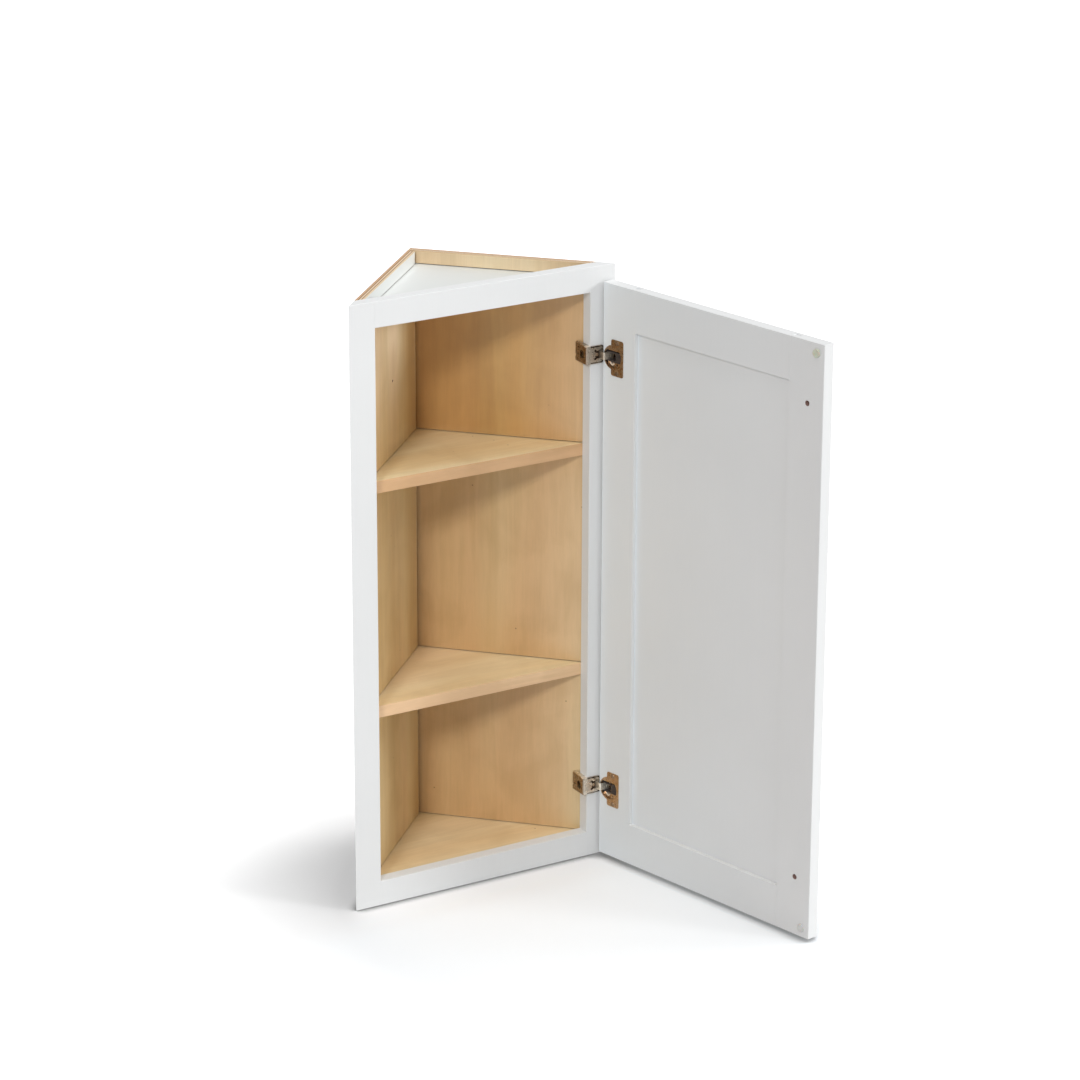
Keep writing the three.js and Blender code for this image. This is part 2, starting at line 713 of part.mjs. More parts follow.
// A plastic block that fills the middle of the cup, slotted for the arm and bored for the pin.
function hingeDamper() {
  const radius = CUP_INNER - LOOSE;
  const under = CUP_FLOOR + LOOSE;
  const face = BACK_FACE - DAMPER_SINK;
  const round = rod("y", under, face, radius, [CUP_X, 0], ROUND.large);
  const middle = box(-DOOR_WIDTH, DOOR_WIDTH, under, face, -DAMPER_HALF, DAMPER_HALF);
  const slotHalf = ARM_HALF + LOOSE;
  const slotEnd = -(ARM_REACH + 2 * LOOSE);
  const slot = box(slotEnd, DOOR_WIDTH, -HEIGHT, HEIGHT, -slotHalf, slotHalf);
  const eye = rod("z", -HEIGHT, HEIGHT, PIN_RADIUS + SEAT, [0, 0], ROUND.middle);
  return cut(round.intersect(middle), slot, eye);
}

function pivotPin() {
  const end = DAMPER_HALF - LOOSE;
  return rod("z", -end, end, PIN_RADIUS, [0, 0], ROUND.middle);
}

// A bent strip that stands on the floor of the cup, just below the damper.
function closingSpring() {
  const top = BACK_FACE - SPRING_SINK;
  const floor = CUP_FLOOR + LOOSE;
  const near = CUP_X + SPRING_HALF;
  const far = CUP_X - SPRING_HALF;
  const sheet = SPRING_SHEET;
  const outline = [
    [near, floor],
    [near - SPRING_SLOPE * 2, top],
    [far, top - SPRING_SLOPE],
    [far, floor],
    [far + sheet, floor],
    [far + sheet, top - SPRING_SLOPE - sheet],
    [near - SPRING_SLOPE * 2 - sheet, top - sheet],
    [near - sheet, floor],
  ];
  const z1 = -(DAMPER_HALF + LOOSE);
  return prism(outline, z1 - SPRING_TALL, z1);
}

function doorSideOfHinge(name, height) {
  const screws = [
    ["top", CUP_SCREW_OFF],
    ["bottom", -CUP_SCREW_OFF],
  ].map(([place, off]) => {
    const made = screw(`${name}_cup_screw_${place}`, HEAD_RADIUS, CUP_SCREW_LENGTH);
    made.rotation.x = -Math.PI / 2;
    made.position.set(HINGE_EDGE - CUP_SCREW_IN, FLANGE_FACE + SEAT, off);
    return made;
  });
  const pieces = [
    piece(`${name}_cup`, hingeCup(), HINGE_STEEL),
    piece(`${name}_damper`, hingeDamper(), DARK_PLASTIC),
    piece(`${name}_pivot_pin`, pivotPin(), BRIGHT_STEEL),
    piece(`${name}_closing_spring`, closingSpring(), BRIGHT_STEEL),
    ...screws,
  ];
  const made = group(`${name}_hinge_on_door`, pieces);
  made.position.z = height;
  return made;
}

// ---- Cabinet ----------------------------------------------------------------------------

function door() {
  const hinges = Object.entries(HINGE_HEIGHTS).map(([name, height]) =>
    doorSideOfHinge(name, height),
  );
  const made = group("door", [...doorPieces(), ...hinges]);
  made.position.set(PIVOT_X, PIVOT_Y, 0);
  made.rotation.z = THREE.MathUtils.degToRad(OPEN_ANGLE);
  return made;
}

function body() {
  const hinges = Object.entries(HINGE_HEIGHTS).map(([name, height]) =>
    frameSideOfHinge(name, height),
  );
  return group("body", [...sides(), ...insideBoards(), ...faceFrame(), ...hinges]);
}

const cabinet = group("corner_wall_cabinet", [body(), door()]);
const [wallX, wallY] = onSide(1, LEG * HALF, 0);
cabinet.position.set(-wallX, -wallY, -HEIGHT * HALF);

export default cabinet;
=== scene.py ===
# %% [markdown]
# # A corner wall cabinet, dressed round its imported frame
# The real object is a small kitchen cabinet that fills the corner of a room. Two plywood sides
# meet at a right angle, a white face frame closes the diagonal front, and one framed door hangs
# on two cup hinges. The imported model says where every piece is. This lesson models each piece
# again with finer edges, cuts and finishes, in the same places.

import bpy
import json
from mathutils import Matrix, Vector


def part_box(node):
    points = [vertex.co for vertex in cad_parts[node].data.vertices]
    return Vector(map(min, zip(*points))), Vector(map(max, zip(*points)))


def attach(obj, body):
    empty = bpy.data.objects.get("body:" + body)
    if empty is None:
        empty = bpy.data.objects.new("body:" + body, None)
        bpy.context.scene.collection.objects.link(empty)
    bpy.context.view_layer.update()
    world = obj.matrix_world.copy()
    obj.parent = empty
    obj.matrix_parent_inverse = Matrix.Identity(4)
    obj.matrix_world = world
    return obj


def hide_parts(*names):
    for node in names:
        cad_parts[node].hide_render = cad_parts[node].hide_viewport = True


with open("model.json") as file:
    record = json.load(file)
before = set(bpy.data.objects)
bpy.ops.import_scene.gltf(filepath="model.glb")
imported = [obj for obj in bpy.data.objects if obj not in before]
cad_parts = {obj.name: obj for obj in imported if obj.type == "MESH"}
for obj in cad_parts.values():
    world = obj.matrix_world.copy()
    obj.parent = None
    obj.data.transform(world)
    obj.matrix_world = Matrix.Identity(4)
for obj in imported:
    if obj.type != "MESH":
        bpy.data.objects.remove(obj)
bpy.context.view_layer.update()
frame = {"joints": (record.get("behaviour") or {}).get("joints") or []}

# %% [markdown]
# ## Measuring
# A cabinet maker works in millimetres, and Blender in metres, so every length below is in
# millimetres and a helper scales it. Cabinet pieces are measured from the lower left front corner
# of the face frame. Door pieces are measured from the hinge pin, as if the door were shut, and
# are turned open when they are put in place, because a shut door is square to the axes.

# %% Units and the two places to measure from
import json
import math

import bmesh
import bpy
from mathutils import Matrix, Vector

MM = 0.001
hinge_joint = frame["joints"][0]
stile_low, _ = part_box("frame_left_stile")
CORNER = stile_low
PIN = Vector((hinge_joint["pos_m"][0], hinge_joint["pos_m"][1], stile_low.z))
OPEN = -math.radians(hinge_joint["range_deg"][0])
print("corner", tuple(round(v, 4) for v in CORNER), "pin", tuple(round(v, 4) for v in PIN))

# %% The cabinet's sizes
LEG = 304.8
WIDTH = LEG * math.sqrt(2)
HEIGHT = 914.4
PLY = 12
FRAME_DEPTH = 19.05
STILE = 41.3
RAIL = 38.1
INNER_EDGE = WIDTH - STILE
SEAM = 0.05
HOUSING = 4
BOARDS = {
    "top_board": (882.9, 894.9),
    "upper_shelf": (626.47, 644.47),
    "lower_shelf": (285.22, 303.22),
    "floor_board": (21.1, 33.1),
}
print("front is", round(WIDTH, 1), "mm wide and", HEIGHT, "mm high")

# %% [markdown]
# ## Working by hand, in code
# Each helper below is one thing that a modeller does at the bench: pick one piece, add a block,
# select some faces or edges, saw, ease an edge, carve with a cutter. Selecting by place or by
# direction replaces the mouse.

# %% Pick up a piece, and add a block or a rod
def only(piece):
    if bpy.context.object and bpy.context.object.mode != "OBJECT":
        bpy.ops.object.mode_set(mode="OBJECT")
    bpy.ops.object.select_all(action="DESELECT")
    piece.select_set(True)
    bpy.context.view_layer.objects.active = piece
    return piece


def named(name):
    piece = bpy.context.object
    piece.name = name
    bpy.ops.object.transform_apply(location=True, rotation=True, scale=True)
    return piece


def block(name, x, y, z, turn=0.0):
    """A block between two values on each axis, turned about its own middle."""
    bpy.ops.object.select_all(action="DESELECT")
    spans = (x, y, z)
    middle = [sum(span) / 2 * MM for span in spans]
    size = [(high - low) * MM for low, high in spans]
    bpy.ops.mesh.primitive_cube_add(size=1, location=middle, rotation=(0, 0, turn), scale=size)
    return named(name)


TURNS = {"x": (0, math.pi / 2, 0), "y": (math.pi / 2, 0, 0), "z": (0, 0, 0)}


def rod(name, axis, middle, radius, length, sides=32):
    """A round bar along one axis."""
    bpy.ops.object.select_all(action="DESELECT")
    bpy.ops.mesh.primitive_cylinder_add(
        vertices=sides,
        radius=radius * MM,
        depth=length * MM,
        location=[v * MM for v in middle],
        rotation=TURNS[axis],
    )
    return named(name)


# %% Select in edit mode, saw, ease, carve and weld
def pick(piece, kind, test):
    """Selects the vertices, edges or faces whose middle (in mm) and direction pass the test."""
    only(piece)
    bpy.ops.object.mode_set(mode="EDIT")
    bpy.ops.mesh.select_mode(type=kind)
    bpy.ops.mesh.select_all(action="DESELECT")
    mesh = bmesh.from_edit_mesh(piece.data)
    mesh.normal_update()
    for item in {"VERT": mesh.verts, "EDGE": mesh.edges, "FACE": mesh.faces}[kind]:
        if kind == "VERT":
            middle, way = item.co, item.normal
        elif kind == "EDGE":
            ends = [v.co for v in item.verts]
            middle, way = (ends[0] + ends[1]) / 2, (ends[1] - ends[0]).normalized()
        else:
            middle, way = item.calc_center_median(), item.normal
        if test(middle / MM, way):
            item.select_set(True)
    bmesh.update_edit_mesh(piece.data)


def everything(middle, way):
    return True


def done(piece):
    bpy.ops.object.mode_set(mode="OBJECT")
    return piece


def saw(piece, point, waste):
    """Cuts straight through at a point, and drops what lies on the waste side."""
    pick(piece, "FACE", everything)
    bpy.ops.mesh.bisect(
        plane_co=[v * MM for v in point], plane_no=waste, use_fill=True, clear_outer=True
    )
    return done(piece)


def score(piece, point, way):
    """Cuts a line round a piece and keeps both halves, so that each can have its own finish."""
    pick(piece, "FACE", everything)
    bpy.ops.mesh.bisect(plane_co=[v * MM for v in point], plane_no=way)
    return done(piece)


X, Y, Z = 0, 1, 2


def edges_at(axis, place, run):
    """Picks the edges at one place on an axis that run along another axis."""
    return lambda middle, way: abs(middle[axis] - place) < 0.01 and abs(way[run]) > 0.9


def ease(piece, width, test, rounds=3):
    """Rounds the edges that pass the test."""
    pick(piece, "EDGE", test)
    bpy.ops.mesh.bevel(offset=width * MM, segments=rounds, affect="EDGES", clamp_overlap=True)
    return done(piece)


def boolean(piece, operation, others):
    for other in others:
        only(piece)
        step = piece.modifiers.new(operation.lower(), "BOOLEAN")
        step.operation, step.solver, step.object = operation, "EXACT", other
        bpy.ops.object.modifier_apply(modifier=step.name)
        bpy.data.objects.remove(other)
    return piece


def carve(piece, *cutters):
    return boolean(piece, "DIFFERENCE", cutters)


def weld(piece, *others):
    return boolean(piece, "UNION", others)


def soften(piece, width):
    """Takes the sharpness off every corner, as pressing and plating do."""
    only(piece)
    edge = piece.modifiers.new("soft edges", "BEVEL")
    edge.width, edge.segments = width * MM, 2
    edge.limit_method, edge.angle_limit = "ANGLE", math.radians(35)
    bpy.ops.object.modifier_apply(modifier=edge.name)
    return piece


# %% Copy a piece, and move it
def copy_of(piece, name):
    """A copy with its own mesh."""
    only(piece)
    bpy.ops.object.duplicate()
    made = bpy.context.object
    made.name = name
    return made


def stand(piece, place, turn=(0, 0, 0)):
    """Moves a piece to its place and turns it, in its mesh."""
    only(piece)
    piece.rotation_euler, piece.location = turn, [v * MM for v in place]
    bpy.ops.object.transform_apply(location=True, rotation=True, scale=True)
    return piece


# %% Finish, and put a piece in its place on the cabinet or the door
def finish_with(piece, material, test=None):
    """Gives the whole piece a finish, or only the faces that pass the test."""
    piece.data.materials.append(material)
    index = len(piece.data.materials) - 1
    for face in piece.data.polygons:
        if test is None or test(face.center / MM, face.normal):
            face.material_index = index
    return piece


def settle(piece, body, slot, *replaced, crisp=30):
    """Closes seams, smooths, moves the piece to its place and lets it ride on its body."""
    only(piece)
    bpy.ops.object.mode_set(mode="EDIT")
    bpy.ops.mesh.select_all(action="SELECT")
    bpy.ops.mesh.remove_doubles(threshold=0.00001)
    bpy.ops.mesh.normals_make_consistent(inside=False)
    bpy.ops.object.mode_set(mode="OBJECT")
    piece.location = PIN if body == "door" else CORNER
    piece.rotation_euler = (0, 0, OPEN if body == "door" else 0)
    bpy.ops.object.transform_apply(location=True, rotation=True, scale=True)
    bpy.ops.object.shade_smooth_by_angle(angle=math.radians(crisp))
    flat = piece.modifiers.new("flat faces stay flat", "WEIGHTED_NORMAL")
    flat.keep_sharp = True
    bpy.ops.object.modifier_apply(modifier=flat.name)
    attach(piece, body)
    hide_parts(*replaced)
    print(piece.name, "on", body, "-", len(piece.data.polygons), "faces")
    return piece


# %% [markdown]
# ## Node helpers
# Every finish is a small chain of nodes. One helper adds a node and joins it to what feeds it,
# and another starts a material with its Principled shader, so that each finish reads as a recipe.

# %% Add a node, start a material, start a group
def put(tree, kind, sockets=None, **settings):
    """Adds a node. Each socket gets a plain value, or is linked to another node's socket."""
    made = tree.nodes.new("ShaderNode" + kind)
    for key, value in settings.items():
        setattr(made, key, value)
    for key, value in (sockets or {}).items():
        if isinstance(value, bpy.types.NodeSocket):
            tree.links.new(value, made.inputs[key])
        else:
            made.inputs[key].default_value = value
    return made


def empty_tree(owner):
    owner.use_nodes = True
    owner.node_tree.nodes.clear()
    return owner.node_tree


def start_material(name, **plain):
    """An empty material with its shader. plain holds the values that stay the same all over."""
    material = bpy.data.materials.new(name)
    tree = empty_tree(material)
    shader = put(tree, "BsdfPrincipled", {k.replace("_", " "): v for k, v in plain.items()})
    put(tree, "OutputMaterial", {"Surface": shader.outputs["BSDF"]})
    return material, tree, shader


def start_group(name, inputs, outputs):
    group = bpy.data.node_groups.new(name, "ShaderNodeTree")
    for in_out, sockets in (("INPUT", inputs), ("OUTPUT", outputs)):
        for label, kind in sockets.items():
            group.interface.new_socket(label, in_out=in_out, socket_type="NodeSocket" + kind)
    return group, group.nodes.new("NodeGroupInput"), group.nodes.new("NodeGroupOutput")


# %% Places and patterns
def own_place(tree):
    """Object coordinates: where a point of the piece is, in metres."""
    return put(tree, "TexCoord").outputs["Object"]


def stretched(tree, scale, shift=(0, 0, 0)):
    """Object coordinates, stretched along the grain by a small scale on that axis."""
    sockets = {"Vector": own_place(tree), "Scale": scale, "Location": shift}
    return put(tree, "Mapping", sockets).outputs[0]


def noise(tree, vector, scale, detail, **others):
    sockets = {"Vector": vector, "Scale": scale, "Detail": detail, **others}
    return put(tree, "TexNoise", sockets).outputs[0]


def ramp(tree, factor, stops):
    """A colour ramp from (position, colour) pairs."""
    made = put(tree, "ValToRGB", {"Fac": factor})
    band = made.color_ramp
    while len(band.elements) < len(stops):
        band.elements.new(1.0)
    for element, (position, colour) in zip(band.elements, stops):
        element.position = position
        element.color = (*colour, 1)
    return made.outputs["Color"]


# %% Sums and mixtures
def remap(tree, value, start, end, low=0, high=1):
    """Low as far as the start, high from the end on, and an even change between them."""
    sockets = {0: value, 1: start, 2: end, 3: low, 4: high}
    return put(tree, "MapRange", sockets).outputs[0]


def scaled(tree, value, by, plus=0.0):
    return put(tree, "Math", {0: value, 1: by, 2: plus}, operation="MULTIPLY_ADD").outputs[0]


def greater(tree, first, second):
    return put(tree, "Math", {0: first, 1: second}, operation="MAXIMUM").outputs[0]


def blend(tree, factor, first, second, how="MIX"):
    """Mixes two colours, each of them plain or a socket. The Mix node's colours are at 6 and 7."""
    sockets = {0: factor}
    for index, colour in ((6, first), (7, second)):
        linked = isinstance(colour, bpy.types.NodeSocket)
        sockets[index] = colour if linked else (*colour, 1)
    return put(tree, "Mix", sockets, data_type="RGBA", blend_type=how).outputs[2]


def times(tree, colour, by, share=1.0):
    """A colour multiplied by another, in full or by a share."""
    return blend(tree, share, colour, by, "MULTIPLY")


def grey(value):
    return (value, value, value)


def brighter(colour, gain):
    return [min(1, v * gain) for v in colour]


def relief(tree, shader, height, strength, depth):
    """Lets a pattern stand up from the surface, by at most a depth in metres."""
    bump = put(tree, "Bump", {"Strength": strength, "Distance": depth, "Height": height})
    tree.links.new(bump.outputs[0], shader.inputs["Normal"])


# %% [markdown]
# ## Worn and highlighted edges
# Hands and boxes rub an edge first, so paint thins there and wood polishes. The much brighter
# edges of the plating are partly wear and partly a painted highlight.
# A Bevel node bends the normal near an edge. Where the bent normal leaves the true one, the
# surface is close to an edge. The group gives a mask that each finish uses in its own strength.

# %% A group that finds the edges
def edge_group():
    group, start, end = start_group("edge_touch", {"Reach": "Float"}, {"Edge": "Float"})
    bent = put(group, "Bevel", {"Radius": start.outputs["Reach"]}, samples=6).outputs[0]
    true = put(group, "NewGeometry").outputs["Normal"]
    same = put(group, "VectorMath", {0: bent, 1: true}, operation="DOT_PRODUCT").outputs["Value"]
    group.links.new(remap(group, same, 0.995, 0.8), end.inputs["Edge"])
    return group


EDGES = edge_group()


def edge_wear_and_highlight(tree, shader, tone, edge_tone, share, rough, rub=-0.08, reach=0.0012):
    """Gives the shader its colour and roughness, both changed within reach of an edge."""
    edge = put(tree, "Group", {"Reach": reach}, node_tree=EDGES).outputs["Edge"]
    toned = blend(tree, scaled(tree, edge, share), tone, edge_tone)
    tree.links.new(toned, shader.inputs["Base Color"])
    tree.links.new(scaled(tree, edge, rub, rough), shader.inputs["Roughness"])


print("edge group has", len(EDGES.nodes), "nodes")

# %% [markdown]
# ## Maple veneer
# The inside of the cabinet is plywood faced with peeled maple: broad, soft bands from honey to
# a pinkish tan, fine fibres along the grain, and a few pin knots. Noise that is stretched along
# the grain makes the bands and the fibres, and the middles of Voronoi cells make the knots. The
# stretched coordinates come from outside the group, so one figure serves upright sides and level
# shelves.

# %% A group for the figure of the wood
def figure_group():
    group, start, end = start_group(
        "maple_figure",
        {"Vector": "Vector", "Place": "Vector"},
        {label: "Float" for label in ("Bands", "Blush", "Mottle", "Fibre", "Knots")},
    )
    vector, place = start.outputs["Vector"], start.outputs["Place"]
    rings = put(
        group,
        "TexWave",
        {"Vector": vector, "Scale": 3.2, "Distortion": 9, "Detail": 2, "Detail Scale": 1.3},
        bands_direction="DIAGONAL",
    ).outputs[1]
    broad = noise(group, vector, 17, 2, Distortion=0.9)
    fine = noise(group, vector, 48, 3, Roughness=0.55, Distortion=1.5)
    clouds = noise(group, place, 11, 3, Distortion=0.6)
    spots = put(group, "TexVoronoi", {"Vector": place, "Scale": 26}).outputs[0]
    for label, value in (
        ("Bands", scaled(group, rings, 0.25, scaled(group, broad, 0.75))),
        ("Blush", noise(group, vector, 7.5, 1, Roughness=0.4, Distortion=0.4)),
        ("Mottle", scaled(group, fine, 0.4, scaled(group, clouds, 0.6))),
        ("Fibre", noise(group, vector, 420, 4, Roughness=0.7)),
        ("Knots", remap(group, spots, 0.04, 0.018)),
    ):
        group.links.new(value, end.inputs[label])
    return group


FIGURE = figure_group()
print("figure group has", len(FIGURE.nodes), "nodes")


# %% [markdown]
# The veneer has a clear coat, so a low bump of fibres lies under a smooth, dull shine. Each cut of
# the wood (upright side, level board, edge strip) gets its own colours and its own stretch. On the
# sides the wood is painted browner by the back corner, more so higher up, as painted shade. On the
# left side it is painted paler by the opening, higher up, as painted light.

# %% A recipe for each cut of the wood
# Painted shade: the sides are tinted browner and darker towards the back corner, more so higher
# up. Painted light: the left side is tinted paler by the opening, higher up.
PAINTED_SHADE, PAINTED_SHADE_HEIGHTS, PAINTED_SHADE_SHARES = (0.78, 0.57, 0.34), (0.13, 0.2), (0.55, 1)
PAINTED_LIGHT, PAINTED_LIGHT_HEIGHTS = (1.26, 1.46, 1.95), (0.22, 0.37)
KNOT = (0.16, 0.08, 0.03)


def wood(
    name, light, dark, blush, scale, rough=0.46, shift=(0, 0, 0), coat=0.25, deep=0, painted_light_shares=(0, 0)
):
    """deep is the x, in metres, where the painted shade of the back corner ends and the painted
    light by the opening begins. The last argument says how much of that painted light there is,
    below and above its two heights."""
    material, tree, shader = start_material(name, Coat_Roughness=0.3)
    place = own_place(tree)
    sockets = {"Vector": stretched(tree, scale, shift), "Place": place}
    figure = put(tree, "Group", sockets, node_tree=FIGURE).outputs
    bands = ramp(tree, figure["Bands"], [(0.36, grey(0)), (0.64, grey(1))])
    pink = ramp(tree, figure["Blush"], [(0.42, grey(0)), (0.6, grey(0.8))])
    toned = blend(tree, pink, blend(tree, bands, light, dark), blush)
    if deep:
        across, _, up = put(tree, "SeparateXYZ", {0: place}).outputs
        by_corner = remap(tree, across, 0, deep, 1, 0)
        by_opening = remap(tree, across, deep, deep * 1.4)
        for mask, tint, heights, shares in (
            (by_corner, PAINTED_SHADE, PAINTED_SHADE_HEIGHTS, PAINTED_SHADE_SHARES),
            (by_opening, PAINTED_LIGHT, PAINTED_LIGHT_HEIGHTS, painted_light_shares),
        ):
            share = scaled(tree, mask, remap(tree, up, *heights, *shares))
            toned = times(tree, toned, tint, share)
    mottled = ramp(tree, figure["Mottle"], [(0.38, (0.86, 0.83, 0.77)), (0.58, grey(1.03))])
    streaks = ramp(tree, figure["Fibre"], [(0.3, grey(0.97)), (0.62, grey(1.02))])
    toned = times(tree, times(tree, toned, mottled, 0.7), streaks)
    toned = blend(tree, scaled(tree, figure["Knots"], 0.7), toned, KNOT)
    polish = scaled(tree, figure["Fibre"], 0.14, rough - 0.07)
    edge_wear_and_highlight(tree, shader, toned, [v * 1.18 for v in light], 0.35, polish)
    tree.links.new(scaled(tree, figure["Bands"], 0.15, coat), shader.inputs["Coat Weight"])
    relief(tree, shader, figure["Fibre"], 0.12, 0.0003)
    return material


ALONG_Z, ALONG_X, ALONG_STRIP = (1, 1, 0.07), (0.1, 1, 1), (0.08, 1, 1)
right_veneer = wood(
    "maple_right_side", (0.735, 0.61, 0.367), (0.60, 0.45, 0.235), (0.72, 0.52, 0.30), ALONG_Z,
    deep=0.11,
)
left_veneer = wood(
    "maple_left_side", (0.76, 0.58, 0.31), (0.63, 0.44, 0.20), (0.74, 0.50, 0.27), ALONG_Z,
    shift=(3, 1, 2), deep=-0.13, painted_light_shares=(0, 1),
)
shelf_veneer = wood(
    "maple_boards", (0.87, 0.735, 0.475), (0.80, 0.62, 0.352), (0.87, 0.655, 0.403), ALONG_X
)
above_deck = wood(
    "maple_above_the_deck", (0.90, 0.735, 0.485), (0.83, 0.65, 0.395), (0.80, 0.59, 0.365), ALONG_Z
)
upper_strip = wood(
    "upper_maple_lipping", (0.70, 0.43, 0.22), (0.58, 0.34, 0.16), (0.70, 0.40, 0.21), ALONG_STRIP
)
lower_strip = wood(
    "lower_maple_lipping", (0.86, 0.60, 0.35), (0.76, 0.50, 0.28), (0.86, 0.56, 0.33), ALONG_STRIP
)
print("six cuts of maple")

# %% [markdown]
# ## The sawn edge of plywood
# On the sawn edges of the two sides the layers show: pale veneers with thin, dark glue lines
# between them. The distance from the outer face runs through a colour ramp, so each layer keeps
# its own depth.

# %% Layers seen on the sawn edges
LAYERS = [
    (0.0, (0.30, 0.12, 0.06)),
    (0.11, (0.34, 0.14, 0.06)),
    (0.15, (0.68, 0.46, 0.25)),
    (0.31, (0.62, 0.40, 0.21)),
    (0.34, (0.26, 0.11, 0.05)),
    (0.44, (0.26, 0.11, 0.05)),
    (0.48, (0.84, 0.68, 0.46)),
    (0.64, (0.80, 0.62, 0.40)),
    (0.67, (0.30, 0.13, 0.06)),
    (0.76, (0.30, 0.13, 0.06)),
    (0.80, (0.84, 0.68, 0.46)),
    (1.0, (0.72, 0.52, 0.32)),
]
SLANT = math.sqrt(0.5)


def ply_edge(name, outward, outer_point):
    """outward is the way the outer face looks, and outer_point is any point on it, in metres."""
    material, tree, shader = start_material(name, Coat_Weight=0.1)
    place = own_place(tree)
    inward = put(tree, "VectorMath", {0: place, 1: -Vector(outward)}, operation="DOT_PRODUCT")
    reach = Vector(outward).dot(Vector(outer_point))
    depth = scaled(tree, inward.outputs["Value"], 1 / (PLY * MM), reach / (PLY * MM) - 0.02)
    depth = scaled(tree, noise(tree, place, 60, 2), 0.04, depth)
    fibres = noise(tree, place, 900, 3)
    grain = ramp(tree, fibres, [(0.3, grey(0.82)), (0.7, grey(1.05))])
    toned = times(tree, ramp(tree, depth, LAYERS), grain)
    tree.links.new(toned, shader.inputs["Base Color"])
    tree.links.new(scaled(tree, fibres, 0.2, 0.55), shader.inputs["Roughness"])
    relief(tree, shader, fibres, 0.3, 0.0004)
    return material


right_edge = ply_edge("ply_edge_right", (SLANT, SLANT, 0), (0, 0, 0))
left_edge = ply_edge("ply_edge_left", (-SLANT, SLANT, 0), tuple(CORNER))
print("two plywood edges,", len(LAYERS), "stops each")

# %% [markdown]
# ## White satin paint
# The face frame and the door have a smooth sprayed paint. It isn't a flat white: it is a little
# uneven in tone and shine, has a faint orange peel, shows a trace of the wood's fibres, and is
# thinner and brighter on its edges. It is one paint. The faces that look into the opening are
# painted cooler, as painted light that offsets the warm light they catch from the wood. The back
# of the door is also painted a little darker towards its free side, as painted shade.

# %% The paint
HINGED_SIDE, FREE_SIDE = -0.15, -0.5


def paint(name, colour, rough=0.4, tints=None):
    """tints are two colours to multiply by, at the hinged side of the open door and at its free
    side. The back of the door is lit through the opening and warm by the hinges, so the hinged
    side is painted cooler, as painted light, and the free side darker, as painted shade."""
    material, tree, shader = start_material(name, Coat_Roughness=0.25)
    place = own_place(tree)
    cloud = noise(tree, place, 6, 3)
    fibre = noise(tree, stretched(tree, (1, 1, 0.05)), 330, 3)
    peel = noise(tree, place, 1100, 1)
    tone = ramp(tree, cloud, [(0.3, [v * 0.975 for v in colour]), (0.7, colour)])
    tone = times(tree, tone, ramp(tree, fibre, [(0.3, grey(0.985)), (0.7, grey(1))]), 0.5)
    if tints:
        along = put(tree, "SeparateXYZ", {0: place}).outputs[1]
        away = remap(tree, along, HINGED_SIDE, FREE_SIDE)
        tone = times(tree, tone, blend(tree, away, *tints))
    shine = scaled(tree, cloud, 0.12, rough - 0.06)
    edge_wear_and_highlight(tree, shader, tone, brighter(colour, 1.05), 0.5, shine)
    tree.links.new(scaled(tree, cloud, 0.2, 0.05), shader.inputs["Coat Weight"])
    relief(tree, shader, scaled(tree, fibre, 0.5, peel), 0.06, 0.0002)
    return material


WHITE = (0.795, 0.805, 0.808)
white_paint = paint("white_satin_paint", WHITE)
# Painted light: the inner edges of the stiles and the inner faces of the rails are painted cooler,
# against the warm light they catch from the wood.
inner_edge_paint_with_painted_light = paint("white_paint_with_painted_light_on_inner_edges", (0.775, 0.82, 0.86))
rail_paint_with_painted_light = paint("white_paint_with_painted_light_on_rail_tops", (0.81, 0.835, 0.85))
# Painted light and shade: the back of the door is painted cooler by the hinges and darker towards
# its free side.
back_paint_with_painted_light_and_shade = paint(
    "white_paint_with_painted_light_and_shade_on_door_back", WHITE, tints=((1, 1.04, 1.07), (0.935, 0.925, 0.925))
)
white_liner = paint("white_liner", (0.745, 0.765, 0.75), 0.5)
print("four paints and a liner")

# %% [markdown]
# ## Bare wood in the holes, and painted shade in the grooves
# The bores for the hinges and the two knob holes were drilled after painting, so they show bare,
# reddish wood. It is painted much darker than fresh wood, as painted shade inside the holes. The
# grooves that hold the boards, and the end of the left side in the back corner, are painted nearly
# black, as painted shade in the seams where the pieces meet.

# %% Bare wood, and grooves in painted shade
RAW = {"scale": (1, 1, 0.3), "coat": 0.0}
bare_wood_with_painted_shade = wood(
    "bare_wood_with_painted_shade", (0.38, 0.25, 0.21), (0.24, 0.14, 0.12), (0.4, 0.26, 0.23), rough=0.7, **RAW
)
groove_in_painted_shade = wood(
    "wood_in_grooves_in_painted_shade", (0.16, 0.09, 0.05), (0.1, 0.05, 0.03), (0.16, 0.08, 0.05), rough=0.8,
    **RAW,
)
print("bare wood for the bores and the grooves")

# %% [markdown]
# ## Plated steel, dark plastic and soft pads
# The hinges are pressed steel with a warm, dark nickel plate. Its faces are given lighter and
# darker platings by how light falls on them. The front leg and the top fold are painted lighter,
# as painted light, and the corner of the fold carries a painted highlight. The groove round the
# rim, the inside of the slot, the arm's foot and the mounting screw are painted nearly black, as
# painted shade. The arms and screws are brighter. Metals vary in shine more than in colour, so
# streaks and smudges mostly feed the roughness.

